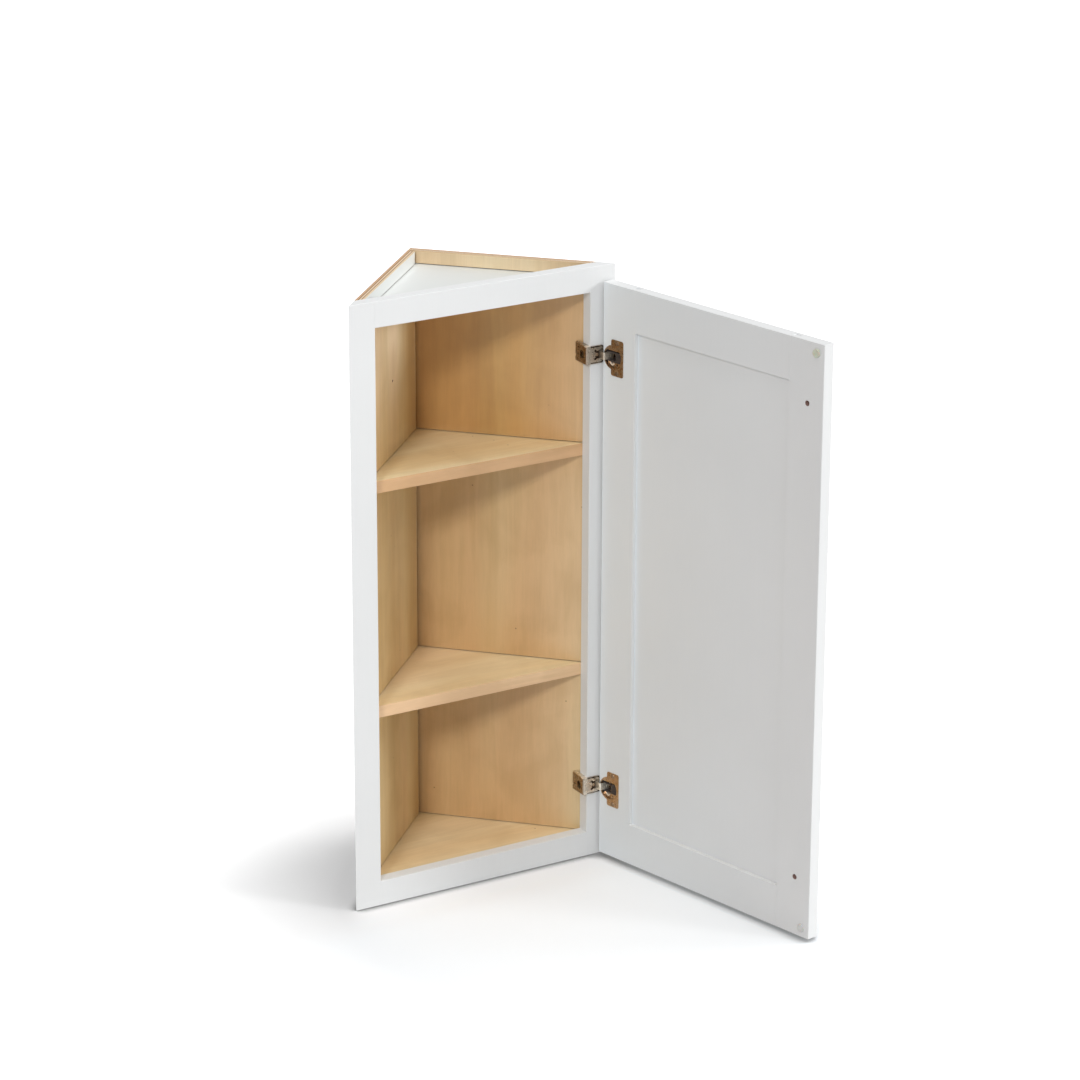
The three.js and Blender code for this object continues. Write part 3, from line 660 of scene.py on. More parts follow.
# %% The metals
def metal(name, colour, rough):
    material, tree, shader = start_material(name, Metallic=1.0)
    smudge = noise(tree, own_place(tree), 140, 3)
    drawn = noise(tree, stretched(tree, (1, 1, 6)), 700, 2)
    dark = [v * 0.84 for v in colour]
    tone = ramp(tree, smudge, [(0.35, dark), (0.62, colour)])
    shine = scaled(tree, smudge, 0.22, rough - 0.11)
    # The edges are painted 1.9 times brighter: partly wear, partly a painted highlight.
    edge_wear_and_highlight(tree, shader, tone, brighter(colour, 1.9), 0.85, shine, rub=-0.1, reach=0.0006)
    relief(tree, shader, drawn, 0.12, 0.0001)
    return material


def worn_pair(name, upper, lower, rough=0.28):
    """The upper hinge is browner, and the lower one paler."""
    return {
        place: metal(place + "_" + name, colour, rough)
        for place, colour in (("upper", upper), ("lower", lower))
    }


warm_plate = worn_pair("warm_nickel", (0.38, 0.28, 0.195), (0.55, 0.41, 0.29))
side_plate = worn_pair("side_nickel", (0.29, 0.23, 0.18), (0.38, 0.32, 0.255))
# A lighter plating for the front leg and the top fold of the wing, as painted light.
plate_in_painted_light = worn_pair("nickel_in_painted_light", (0.44, 0.38, 0.31), (0.78, 0.69, 0.575))
neck_plate = worn_pair("neck_nickel", (0.56, 0.50, 0.42), (0.92, 0.87, 0.76), 0.42)
# Bright steel for the pin and the lever, and a painted highlight on the corner of the top fold.
bright_plate_and_highlight = worn_pair("bright_nickel_and_painted_highlight", (0.98, 0.90, 0.80), (1, 0.93, 0.84), 0.5)
# Nearly black, as painted shade: the rim groove, the inside of the slot, the arm's foot and the
# mounting screw.
shaded_plate = worn_pair("shaded_nickel", (0.04, 0.028, 0.02), (0.06, 0.043, 0.032), 0.4)
screw_plate = worn_pair("screw_nickel", (0.24, 0.175, 0.12), (0.36, 0.27, 0.19), 0.5)
print("seven platings for each hinge")


# %% The plastic and the pads
def moulded(name, colour, rough, **plain):
    material, tree, shader = start_material(name, **plain)
    place = own_place(tree)
    speck = noise(tree, place, 500, 3)
    dull = [v * 0.85 for v in colour]
    tone = ramp(tree, noise(tree, place, 90, 1), [(0.3, dull), (0.7, colour)])
    shine = scaled(tree, speck, 0.2, rough - 0.1)
    edge_wear_and_highlight(tree, shader, tone, brighter(colour, 1.5), 0.4, shine, rub=0.0)
    relief(tree, shader, speck, 0.15, 0.0001)
    return material


dark_plastic = moulded("dark_moulded_plastic", (0.045, 0.036, 0.034), 0.42)
SOFT = {"Subsurface_Weight": 0.4, "Subsurface_Scale": 0.002, "IOR": 1.45}
upper_pad_gel = moulded("pad_gel_yellowed", (0.68, 0.67, 0.54), 0.32, **SOFT)
lower_pad_gel = moulded("pad_gel_clear", (0.66, 0.665, 0.65), 0.32, **SOFT)
print("plastic and two pads")

# %% [markdown]
# ## The two sides
# Each side is a plywood board that stands on edge at 45 degrees to the front. A turned block is
# sawn off behind the face frame, where it meets the frame at 45 degrees, and grooved for the
# boards. The left side stops at the right one, which runs through to the corner of the room. The
# grooves are a little wider than the boards, and the corner has a notch, so that thin dark lines
# show where the real pieces meet. The faces inside them are painted nearly black, as painted
# shade.

# %% A side, sawn and grooved
def along_side(hand, along, inward):
    """A point counted along a side from the corner of the room, and in from its outer face."""
    x = WIDTH / 2 + hand * (along - inward) * SLANT
    return x, WIDTH / 2 - (along + inward) * SLANT


SHADOW_GAP = 1.1


def side_block(name, hand, along, inward, z):
    """A block that lies along a side, given its reach along, inward and up."""
    middle = along_side(hand, sum(along) / 2, sum(inward) / 2)
    long, thick = along[1] - along[0], inward[1] - inward[0]
    x = (middle[0] - long / 2, middle[0] + long / 2)
    y = (middle[1] - thick / 2, middle[1] + thick / 2)
    return block(name, x, y, z, turn=-hand * math.pi / 4)


def side_panel(name, hand, start, groove_start):
    panel = side_block(name, hand, (start, LEG), (0, PLY), (0, HEIGHT))
    saw(panel, (0, FRAME_DEPTH + SEAM, 0), (0, -1, 0))
    ease(panel, 0.5, lambda middle, way: abs(way.z) < 0.1 and abs(way.x) > 0.1, 2)
    grooves = [
        side_block("groove", hand, (groove_start, LEG + 9), (PLY - HOUSING, PLY + 9), heights)
        for heights in [(low - SEAM, high + SHADOW_GAP) for low, high in BOARDS.values()]
    ]
    return carve(panel, *grooves)


right_panel = side_panel("right_side_panel", 1, 0, PLY - HOUSING)
left_panel = side_panel("left_side_panel", -1, PLY + SEAM, 0)
NOTCH = 5.2
notch = side_block("notch", -1, (PLY - 1, PLY + NOTCH), (PLY - 6, PLY + 1), (-1, HEIGHT + 1))
carve(left_panel, notch)
print("sides are", round(LEG, 1), "mm deep and", PLY, "mm thick")


# %% [markdown]
# The inside of each side is clear maple and the outside is white. Above the top board the left
# side shows a white lining, and the right side shows maple. In the upper bay the left side has a
# small pin hole, about half way along, and its top edge has a small knock.

# %% Finish the sides by the direction of their faces
def facing(way, direction):
    return way.dot(Vector(direction)) > 0.9


def outside_of(hand):
    return (hand * SLANT, SLANT, 0)


def inside_of(hand):
    return (-hand * SLANT, -SLANT, 0)


def is_sawn(hand, way):
    """The top and bottom edges, the sawn front, and the end in the back corner."""
    return abs(way.z) > 0.5 or way.y < -0.8 or facing(way, (-hand * SLANT, SLANT, 0))


def in_groove(hand, middle, way):
    """The faces inside the grooves, and the end of the left side in the back corner."""
    deep = ((WIDTH / 2 - middle.x) * hand + WIDTH / 2 - middle.y) * SLANT
    end = hand < 0 and facing(way, outside_of(1))
    return abs(way.z) > 0.5 or end or (deep < PLY - 0.5 and facing(way, inside_of(hand)))


def in_pin_hole(middle, way):
    return (middle - PIN_HOLE).length < 6 and not facing(way, inside_of(-1))


DECK = BOARDS["top_board"][1]
PIN_HOLE = Vector((129.1, 112.1, 755.2))
score(right_panel, (0, 0, DECK + 0.5), (0, 0, 1))
carve(left_panel, rod("pin hole", "x", PIN_HOLE, 1.9, 10, 12))
carve(left_panel, rod("knock on the edge", "z", (147.2, 147.2, HEIGHT), 1.4, 8, 12))
for panel, hand, veneer, layers, upper in (
    (right_panel, 1, right_veneer, right_edge, above_deck),
    (left_panel, -1, left_veneer, left_edge, white_liner),
):
    finish_with(panel, veneer)
    finish_with(panel, white_paint, lambda m, w: facing(w, outside_of(hand)))
    finish_with(panel, layers, lambda m, w: is_sawn(hand, w))
    # The faces inside the grooves and the end of the left side are painted nearly black, as
    # painted shade.
    finish_with(panel, groove_in_painted_shade, lambda m, w: 1 < m.z < HEIGHT - 1 and in_groove(hand, m, w))
    finish_with(panel, upper, lambda m, w: m.z > DECK and facing(w, inside_of(hand)))
# The pin hole is painted darker with the bare wood, as painted shade.
finish_with(left_panel, bare_wood_with_painted_shade, in_pin_hole)
settle(right_panel, "cabinet", "maple_board", "right_side")
settle(left_panel, "cabinet", "maple_board", "left_side")


# %% [markdown]
# ## Boards between the sides
# The top, the floor and the two shelves are the same triangle at four heights. A block is sawn
# twice at 45 degrees. The shelves carry a strip of solid maple on their front edge, which is
# browner than the veneer, most of all on the upper shelf.

# %% Saw the triangles
BEHIND = FRAME_DEPTH + 0.2
LIPPING = 1.2


def between_sides(name, y, z):
    """A board sawn at both ends, so that it reaches into the grooves of the sides."""
    board = block(name, (0, WIDTH), y, z)
    for hand in (1, -1):
        saw(board, (*along_side(hand, 0, PLY - HOUSING + SEAM), 0), outside_of(hand))
    return board


shelf_pieces = {
    "top_board": ("top_deck", white_liner, BEHIND),
    "upper_shelf": ("upper_shelf_board", shelf_veneer, BEHIND + LIPPING),
    "lower_shelf": ("lower_shelf_board", shelf_veneer, BEHIND + LIPPING),
    "floor_board": ("floor_panel", shelf_veneer, BEHIND),
}
for node, (name, material, front) in shelf_pieces.items():
    board = between_sides(name, (front, WIDTH / 2), BOARDS[node])
    finish_with(board, material)
    if node == "top_board":
        finish_with(board, shelf_veneer, lambda m, w: w.z < -0.5)
    settle(board, "cabinet", "maple_board", node)


# %% Glue the strip on the front of each shelf
for node, grain in (("upper_shelf", upper_strip), ("lower_shelf", lower_strip)):
    edging = between_sides(node + "_lipping", (BEHIND, BEHIND + LIPPING - 0.02), BOARDS[node])
    ease(edging, 0.5, edges_at(Y, BEHIND, X))
    finish_with(edging, grain)
    settle(edging, "cabinet", "maple_board")


# %% [markdown]
# ## The face frame
# Two stiles and two rails are joined with mortise and tenon, as in a real face frame. Each stile
# is sawn at 45 degrees along its outer edge, so that its back lines up with the plywood side. The
# tenon is an inset end face, pulled out, and the mortise is carved with a slightly bigger block.

# %% Stiles with mortises
TENON = 18
SHOULDER = 5.525
PLAY = 0.1


def mortise(hand, z0):
    start = STILE - TENON - PLAY if hand < 0 else INNER_EDGE - 1
    middle = FRAME_DEPTH / 2
    thick = FRAME_DEPTH / 2 - SHOULDER + PLAY
    return block(
        "mortise",
        (start, start + TENON + 1 + PLAY),
        (middle - thick, middle + thick),
        (z0 + SHOULDER - PLAY, z0 + RAIL - SHOULDER + PLAY),
    )


def face_stile(name, hand):
    outer, inner = (0, STILE) if hand < 0 else (WIDTH, INNER_EDGE)
    stile = block(name, sorted((outer, inner)), (0, FRAME_DEPTH), (0, HEIGHT))
    saw(stile, (outer, 0, 0), outside_of(hand))
    ease(stile, 0.6, lambda m, w: abs(m.x - inner) > 0.01)
    ease(stile, 0.2, edges_at(X, inner, Z), 2)
    carve(stile, mortise(hand, 0), mortise(hand, HEIGHT - RAIL))
    finish_with(stile, white_paint)
    # Its inner edge is painted cooler, as painted light.
    return finish_with(stile, inner_edge_paint_with_painted_light, lambda m, w: w.x * hand < -0.9)


left_stile = face_stile("face_left_stile", -1)
right_stile = face_stile("face_right_stile", 1)
print("stiles", STILE, "mm wide")


# %% Rails with tenons
def face_rail(name, z0):
    x = (STILE + SEAM, INNER_EDGE - SEAM)
    rail = block(name, x, (0, FRAME_DEPTH), (z0, z0 + RAIL))
    for way_out in (-1, 1):
        pick(rail, "FACE", lambda m, w: w.x * way_out > 0.9)
        bpy.ops.mesh.inset(thickness=SHOULDER * MM)
        bpy.ops.mesh.extrude_region_move(
            TRANSFORM_OT_translate={"value": (way_out * TENON * MM, 0, 0)}
        )
        done(rail)
    ease(rail, 0.6, lambda m, w: abs(w.x) > 0.9 and STILE < m.x < INNER_EDGE)
    finish_with(rail, white_paint)
    inward = 1 if z0 == 0 else -1
    # Its inner face is painted cooler, as painted light.
    return finish_with(rail, rail_paint_with_painted_light, lambda m, w: w.z * inward > 0.9)


settle(face_rail("face_top_rail", HEIGHT - RAIL), "cabinet", "white_paint", "frame_top_rail")
settle(face_rail("face_bottom_rail", 0), "cabinet", "white_paint", "frame_bottom_rail")
settle(left_stile, "cabinet", "white_paint", "frame_left_stile")

# %% [markdown]
# The right stile carries the hinges, so it is drilled twice for each: once in its inner edge for
# the mounting screw, and once in its face for the adjusting screw.

# %% Screw holes in the right stile
HINGE_HEIGHTS = {"upper": 783.1, "lower": 113.4}
SLOT_BACK = 9.6
ADJUST_X = 400.65
PILOT = 1.7

for z in HINGE_HEIGHTS.values():
    deep = rod("screw hole", "x", (INNER_EDGE + 6, SLOT_BACK, z), PILOT, 20, 16)
    short = rod("screw hole", "y", (ADJUST_X, 2, z), PILOT, 9, 16)
    carve(right_stile, deep, short)
settle(right_stile, "cabinet", "white_paint", "frame_right_stile")

# %% [markdown]
# ## The door
# A five-piece door: two stiles, two rails and a flat panel that floats in a groove. It is
# measured shut, from the hinge pin. The outer edges are well eased, because hands meet them, and
# the inner ones only a little, so the shadow line round the panel stays crisp.

# %% The door's own faces
HINGE_EDGE = 8.7
DOOR_WIDTH, DOOR_THICK = WIDTH - 7, 19.05
FREE_EDGE = HINGE_EDGE - DOOR_WIDTH
BACK = 8.7
FRONT = BACK - DOOR_THICK
PANEL_BACK, PANEL_THICK = BACK - 6, 6.35
PANEL_FRONT = PANEL_BACK - PANEL_THICK
MEMBER = 63.5
GROOVE = 10
DOOR_Z = (5, 891.5)
print("door is", round(DOOR_WIDTH, 1), "x", DOOR_Z[1] - DOOR_Z[0], "mm")


def groove_cutter(x, z):
    return block("groove", x, (PANEL_FRONT - PLAY, PANEL_BACK + PLAY), z)


def paint_door(piece):
    finish_with(piece, white_paint)
    return finish_with(piece, back_paint_with_painted_light_and_shade, lambda m, w: w.y > 0.5)


def door_stile(name, outer):
    way_in = -1 if outer == HINGE_EDGE else 1
    inner = outer + way_in * MEMBER
    stile = block(name, sorted((outer, inner)), (FRONT, BACK), DOOR_Z)
    ease(stile, 1.2, edges_at(X, outer, Z), 4)
    ease(stile, 0.7, lambda m, w: abs(w.z) < 0.1 and abs(m.x - inner) > 0.01, 2)
    ease(stile, 0.3, edges_at(X, inner, Z), 2)
    floor = inner - way_in * GROOVE
    whole = (DOOR_Z[0] - 1, DOOR_Z[1] + 1)
    carve(stile, groove_cutter(sorted((inner + way_in, floor)), whole))
    return paint_door(stile)


hinge_stile = door_stile("door_stile_hinge_side", HINGE_EDGE)
free_stile = door_stile("door_stile_free_side", FREE_EDGE)

# %% [markdown]
# The rails fit between the stiles with a tongue at each end that fills the groove. The joint is
# filled and painted over, so the seam is only a hairline.

# %% Door rails and panel
def door_rail(name, outer, way_in):
    left = FREE_EDGE + MEMBER + SEAM
    right = HINGE_EDGE - MEMBER - SEAM
    inner = outer + way_in * MEMBER
    rail = block(name, (left, right), (FRONT, BACK), sorted((outer, inner)))
    ease(rail, 0.7, edges_at(Z, outer, X), 2)
    ease(rail, 0.3, edges_at(Z, inner, X), 2)
    floor = inner - way_in * GROOVE
    carve(rail, groove_cutter((left - 1, right + 1), sorted((inner + way_in, floor))))
    tongue_z = sorted((outer + way_in * 0.8, floor - way_in * PLAY))
    for x in ((left - GROOVE + SEAM, left + 1), (right - 1, right + GROOVE - SEAM)):
        weld(rail, block("tongue", x, (PANEL_FRONT, PANEL_BACK), tongue_z))
    return paint_door(rail)


settle(door_rail("door_rail_upper", DOOR_Z[1], -1), "door", "white_paint", "door_top_rail")
settle(door_rail("door_rail_lower", DOOR_Z[0], 1), "door", "white_paint", "door_bottom_rail")

PANEL_IN = MEMBER - GROOVE + 1.5
field = block(
    "door_field",
    (FREE_EDGE + PANEL_IN, HINGE_EDGE - PANEL_IN),
    (PANEL_FRONT, PANEL_BACK),
    (DOOR_Z[0] + PANEL_IN, DOOR_Z[1] - PANEL_IN),
)
ease(field, 0.8, everything, 2)
paint_door(field)
settle(field, "door", "white_paint", "door_panel")

# %% [markdown]
# The hinge stile is bored for the two cups and their screws. The free stile has a blind hole near
# each end for a knob, so that the door can hang either way up. Bored wood is bare, so the faces
# inside each hole take the bare wood finish, which is painted darker, as painted shade.

# %% Bore the stiles
CUP_X = -11.8
CUP_SCREW_X = -20.3
CUP_SCREW_OFF = 22.5
KNOB_X = FREE_EDGE + 29
KNOB_UP = 89
DRILL = 20


def bore(piece, x, z, radius, deep, sides):
    """A hole from the back of the door, and bare wood, painted darker as painted shade, on its
    wall and floor.
    """
    carve(piece, rod("bore", "y", (x, BACK - deep + DRILL / 2, z), radius, DRILL, sides))

    def inside(middle, way):
        off = math.hypot(middle.x - x, middle.z - z)
        return off < radius + 0.1 and middle.y < BACK - 0.01

    finish_with(piece, bare_wood_with_painted_shade, inside)


for z in HINGE_HEIGHTS.values():
    bore(hinge_stile, CUP_X, z, 17.5, 12.9, 64)
    for dz in (CUP_SCREW_OFF, -CUP_SCREW_OFF):
        bore(hinge_stile, CUP_SCREW_X, z + dz, PILOT, 12.3, 16)
for z in (DOOR_Z[0] + KNOB_UP, DOOR_Z[1] - KNOB_UP):
    bore(free_stile, KNOB_X, z, 4, 12, 32)
settle(hinge_stile, "door", "white_paint", "door_hinge_stile")
settle(free_stile, "door", "white_paint", "door_free_stile")


# %% [markdown]
# ## Bumper pads
# Two soft, clear pads meet the frame when the door shuts. Each is a disc whose face is inset and
# pushed in a little, with a round rim, because a moulded pad is dished so that it grips.

# %% Model one pad, copy it to both ends
PAD_IN = 14
PAD_FACE, PAD_THICK = BACK + 2.85, 2.7


def pad():
    middle = (FREE_EDGE + PAD_IN, PAD_FACE - PAD_THICK / 2, 0)
    made = rod("pad", "y", middle, 6.35, PAD_THICK, 48)
    ease(made, 1.1, lambda m, w: abs(m.y - PAD_FACE) < 0.01, 5)
    pick(made, "FACE", lambda m, w: m.y > PAD_FACE - 0.01)
    bpy.ops.mesh.inset(thickness=0.7 * MM)
    bpy.ops.mesh.inset(thickness=0.5 * MM, depth=-0.35 * MM)
    bpy.ops.mesh.inset(thickness=1.2 * MM, depth=-0.15 * MM)
    return done(made)


first_pad = pad()
for name, z, gel in (
    ("bumper_upper", DOOR_Z[1] - PAD_IN, upper_pad_gel),
    ("bumper_lower", DOOR_Z[0] + PAD_IN, lower_pad_gel),
):
    made = finish_with(stand(copy_of(first_pad, name), (0, 0, z)), gel)
    settle(made, "door", "soft_pad", name.split("_")[1] + "_bumper_pad", crisp=40)
bpy.data.objects.remove(first_pad)

# %% [markdown]
# ## The wing of a hinge
# The wing is one pressed sheet that wraps round the edge of the stile. Its side leg stands off
# the edge like a shallow box, and its front leg lies over the face. A box with rounded folds, two
# faces taken away and a wall given by Solidify is what a press makes from flat steel. The hinge is
# modelled once at height 0, and copied to both heights.

# %% Wing: the box-shaped side
WING_LEFT = 382.05
WING_BACK = 27.5
WING_HALF = 13.4
ON_EDGE = INNER_EDGE - 0.15
STEEL = 1.2


def wall(piece, thickness):
    """Gives an open shell a wall, inwards."""
    only(piece)
    sheet = piece.modifiers.new("sheet", "SOLIDIFY")
    sheet.thickness, sheet.offset, sheet.use_even_offset = thickness * MM, -1, True
    bpy.ops.object.modifier_apply(modifier=sheet.name)
    return piece


def drop_faces(piece, test):
    pick(piece, "FACE", test)
    bpy.ops.mesh.delete(type="FACE")
    return done(piece)


def move_points(piece, test, by):
    pick(piece, "VERT", test)
    bpy.ops.transform.translate(value=[v * MM for v in by])
    return done(piece)


def wing_side():
    side = block("wing", (WING_LEFT, ON_EDGE), (-2, WING_BACK), (-WING_HALF, WING_HALF))
    move_points(side, lambda m, w: m.y > 27 and m.z > 0, (0, 0, 2))
    ease(side, 1.7, lambda m, w: m.x < WING_LEFT + 0.1 and m.y < 27, 4)
    drop_faces(side, lambda m, w: w.y > 0.9 or w.x > 0.9)
    wall(side, STEEL)
    saw(side, (ON_EDGE, 18.5, 0), Vector((0.91, 0.41, 0)).normalized())
    return score(side, (0, 5, 0), (0, 1, 0))


# %% Wing: front leg, foot, slot and window
UPRIGHT = (403.85, 405.45)
WINDOW_LEFT = 397.55
ON_FACE = -0.15
RIM_X, RIM_FRONT, LIP_FRONT = (386, 411.85), -1.1, -1.6
SCREW_WAY = 1.8


def plate(name, x, y, z, corner, where=everything):
    """A flat plate, with the corners rounded that pass the test."""
    made = block(name, x, y, z)
    through = Y if y[1] - y[0] < 3 else X
    return ease(made, corner, lambda m, w: abs(w[through]) > 0.9 and where(m, w), 5)


def at_right(middle, way):
    return middle.x > 405


def wing():
    side = wing_side()
    z = (-WING_HALF, WING_HALF)
    rim = plate("rim", RIM_X, (RIM_FRONT, ON_FACE), z, 4, at_right)
    face = plate("face", (384.6, 410.4), (-2, -0.9), (-11.2, 11.2), 3, at_right)
    foot = plate("foot", (ON_EDGE - STEEL, ON_EDGE), (0, 18), z, 3, lambda m, w: m.y > 17)
    lip = plate("lip", RIM_X, (LIP_FRONT, ON_FACE), z, 4, at_right)
    carve(lip, plate("inside", (385, 411.05), (-3, 1), (-12.6, 12.6), 3.3, at_right))
    weld(side, rim, lip, face, foot)
    slot = plate("slot", (380, 385), (5, 14.2), (-6, 6), 4)
    window = block("window", (WINDOW_LEFT, UPRIGHT[1] + 0.8), (-4, 1), (-6, 6))
    corners = [rod("corner", "y", (WINDOW_LEFT, -1, z), 2, 6, 24) for z in (-6, 6)]
    holes = [
        rod("small hole", "x", (WING_LEFT + 0.55, y, z), radius, 6, 20)
        for y, z, radius in ((18, 9.4, 1.3), (21, -1.5, 1.1), (WING_BACK, -4.5, 1.8))
    ]
    screw_way = rod("screw way", "x", (ON_EDGE, SLOT_BACK, 0), SCREW_WAY, 4, 20)
    carve(side, slot, window, *corners, *holes, screw_way)
    return soften(side, 0.18)


# %% [markdown]
# ## The arm
# The arm carries the pin. Its foot slides under the wing, its neck rises through the window and
# bends to the right, and its end is rolled round the pin. A groove runs along its front.

# %% The arm
PIN_X, PIN_Y = 418.852, -11.9
ARM_HALF = 5.2
ARM_FRONT = -14.5


def arm():
    z = (-ARM_HALF, ARM_HALF)
    neck = block("arm", UPRIGHT, (ARM_FRONT, -0.4), z)
    weld(neck, block("bar", (UPRIGHT[0], PIN_X), (ARM_FRONT, -12.9), z))
    ease(neck, 1.5, lambda m, w: abs(w.z) > 0.9 and m.x < UPRIGHT[0] + 0.1 and m.y < -14, 5)
    ease(neck, 0.8, lambda m, w: abs(w.z) > 0.9 and 405 < m.x < 406 and -13 < m.y < -12.5, 3)
    foot_x, foot_y = (393.85, UPRIGHT[1]), (-0.85, ON_FACE)
    foot = plate("foot", foot_x, foot_y, (-8.5, 8.5), 2, lambda m, w: m.x < 395)
    knuckle = rod("knuckle", "z", (PIN_X, PIN_Y, 0), 2.6, 2 * ARM_HALF, 32)
    weld(neck, foot, knuckle)
    eye = rod("eye", "z", (PIN_X, PIN_Y, 0), 1.55, 20, 32)
    gap = block("gap", (PIN_X - 3.2, PIN_X + 4), (PIN_Y - 1.2, PIN_Y + 4), (-1.4, 1.4))
    groove = block("groove", (UPRIGHT[0] + 2.5, PIN_X - 3), (-16, -14.1), (-1.6, 1.6))
    way = rod("screw way", "y", (ADJUST_X, -0.5, 0), SCREW_WAY, 3, 20)
    carve(neck, eye, gap, groove, way)
    return soften(neck, 0.15)


# %% [markdown]
# ## Screws
# The head starts as a disc whose upper edge is rounded to a pan. Its underside is inset to the
# size of the shank and pulled out in short steps, thick and thin by turns, which reads as a
# thread. Two crossed blocks cut the recess.

# %% A pan-head screw
def pan_screw(name, head, length):
    """A screw that stands on its point, with the underside of its head at height 0."""
    made = rod(name, "z", (0, 0, 0.5), head, 1.0, 32)
    ease(made, 0.6, lambda m, w: m.z > 0.99 and abs(w.z) < 0.1, 4)
    pick(made, "FACE", lambda m, w: w.z < -0.9)
    bpy.ops.mesh.inset(thickness=(head - 1.45) * MM)

    def pull(down, size):
        bpy.ops.mesh.extrude_region_move(TRANSFORM_OT_translate={"value": (0, 0, -down * MM)})
        bpy.ops.transform.resize(value=(size, size, 1))

    pull(0.8, 0.8)
    for _ in range(int(length - 2.4)):
        pull(0.5, 1.25)
        pull(0.5, 0.8)
    pull(1.5, 0.2)
    done(made)
    reach = head * 0.6
    bars = [
        block("cross", (-a, a), (-b, b), (0.5, 2)) for a, b in ((reach, 0.45), (0.45, reach))
    ]
    return carve(made, *bars, rod("centre", "z", (0, 0, 1), 1.1, 1.4, 20))


# %% [markdown]
# ## The cup
# The cup is drawn from one disc of steel: a bowl with a brim, and a screw flange above and below.
# Discs and plates are welded, the bowl is hollowed, and its mouth stops short at the top, where
# the steel stays as a bridge.

# %% The cup with its flange
FLANGE_Y = (BACK + 0.15, BACK + 0.95)
EAR_X = -8.3
BOWL, HOLLOW = 17.2, 16.5
BOWL_Y, HOLLOW_Y = (-3.9, FLANGE_Y[1]), (-3.2, 8.85)
MOUTH_TOP = 10.5


def disc(name, y, radius, sides):
    """A round piece in line with the cup, between two depths."""
    return rod(name, "y", (CUP_X, sum(y) / 2, 0), radius, y[1] - y[0], sides)


def cup():
    made = disc("cup", BOWL_Y, BOWL, 72)
    ease(made, 1.6, lambda m, w: m.y < BOWL_Y[0] + 0.01, 5)
    brim = disc("brim", FLANGE_Y, 18.2, 72)
    weld(brim, plate("flange", (-32.3, EAR_X), FLANGE_Y, (-27, 27), 3))
    ease(brim, 1.2, lambda m, w: abs(w.y) > 0.9 and abs(m.x - EAR_X) < 0.2 and abs(m.z) < 19, 3)
    weld(made, brim)
    hollow = disc("hollow", HOLLOW_Y, HOLLOW, 72)
    ease(hollow, 1.2, lambda m, w: m.y < HOLLOW_Y[0] + 0.01, 4)
    mouth = disc("mouth", (4, 12), HOLLOW, 72)
    saw(mouth, (0, 0, MOUTH_TOP), (0, 0, 1))
    holes = [
        rod("hole", "y", (CUP_SCREW_X, 9, z), SCREW_WAY, 6, 24)
        for z in (-CUP_SCREW_OFF, CUP_SCREW_OFF)
    ]
    carve(made, hollow, mouth, *holes)
    return soften(made, 0.12)


# %% [markdown]
# ## Inside the cup
# A dark plastic block with the damper fills the middle of the bowl. It is slotted for the arm,
# bored for the pin and grooved across its face. Below it a bright, bent lever and a plated
# bracket with a small window close the door over the last part of its swing.

# %% Damper, pin, lever and bracket
DAMPER_FACE = BACK - 1.1
BOWL_FLOOR = -2.9


def damper():
    made = disc("damper", (BOWL_FLOOR, DAMPER_FACE), 16.2, 64)
    saw(made, (0, 0, 7.8), (0, 0, 1))
    saw(made, (0, 0, -7.8), (0, 0, -1))
    ease(made, 0.7, lambda m, w: m.y > DAMPER_FACE - 0.01, 3)
    slot = block("slot", (-15.6, 12), (-8, 20), (-5.5, 5.5))
    eye = rod("eye", "z", (0, 0, 0), 1.5, 40, 24)
    grooves = [
        block("groove", (-27, -17), (DAMPER_FACE - 0.5, DAMPER_FACE + 2), (z - 0.5, z + 0.5))
        for z in (-4.2, 0, 4.2)
    ]
    carve(made, slot, eye, *grooves)
    return soften(made, 0.12)


def pivot_pin():
    made = rod("pin", "z", (0, 0, 0), 1.4, 15, 28)
    return ease(made, 0.4, lambda m, w: abs(m.z) > 7.49, 3)


def strip(start, end, half):
    """A flat strip on edge between two places in the cup, each given as x and z."""
    run = Vector(end) - Vector(start)
    made = block("strip", (0, run.length), (BOWL_FLOOR, 7.2), (-half, half))
    return stand(made, (start[0], 0, start[1]), (0, -math.atan2(run.y, run.x), 0))


def lever():
    made = strip((-9.2, -12.6), (-4.2, -9), 1.3)
    weld(made, strip((-12.1, -9.6), (-9, -12.9), 0.9))
    return soften(made, 0.25)


def bracket():
    made = disc("bracket", (6.4, 7.2), 16.1, 64)
    saw(made, (0, 0, -8.2), (0, 0, 1))
    saw(made, (-12.9, 0, 0), (1, 0, 0))
    floor = disc("floor", (4.2, 5), 16.1, 64)
    saw(floor, (0, 0, -8.4), (0, 0, 1))
    weld(made, floor, block("leg", (-19, -18), (BOWL_FLOOR, 6.8), (-14, -13)))
    carve(made, rod("window", "y", (-18.2, 6.8, -11), 2.1, 4, 3))
    return soften(made, 0.12)


# %% Build each hinge piece once, and copy it to both heights
def hinge_piece(part, model, body, slot, plating, node, *details):
    """details are (plating, test) pairs for faces that are plated otherwise, as painted light or
    painted shade.
    """
    for place, height in HINGE_HEIGHTS.items():
        made = finish_with(copy_of(model, place + "_hinge_" + part), plating[place])
        for other, test in details:
            finish_with(made, other[place], test)
        stand(made, (0, 0, height))
        settle(made, body, slot, place + "_" + node)
    bpy.data.objects.remove(model)


def on_top_fold(middle, way):
    return way.z > 0.4 and middle.x < ON_EDGE and middle.z > 11


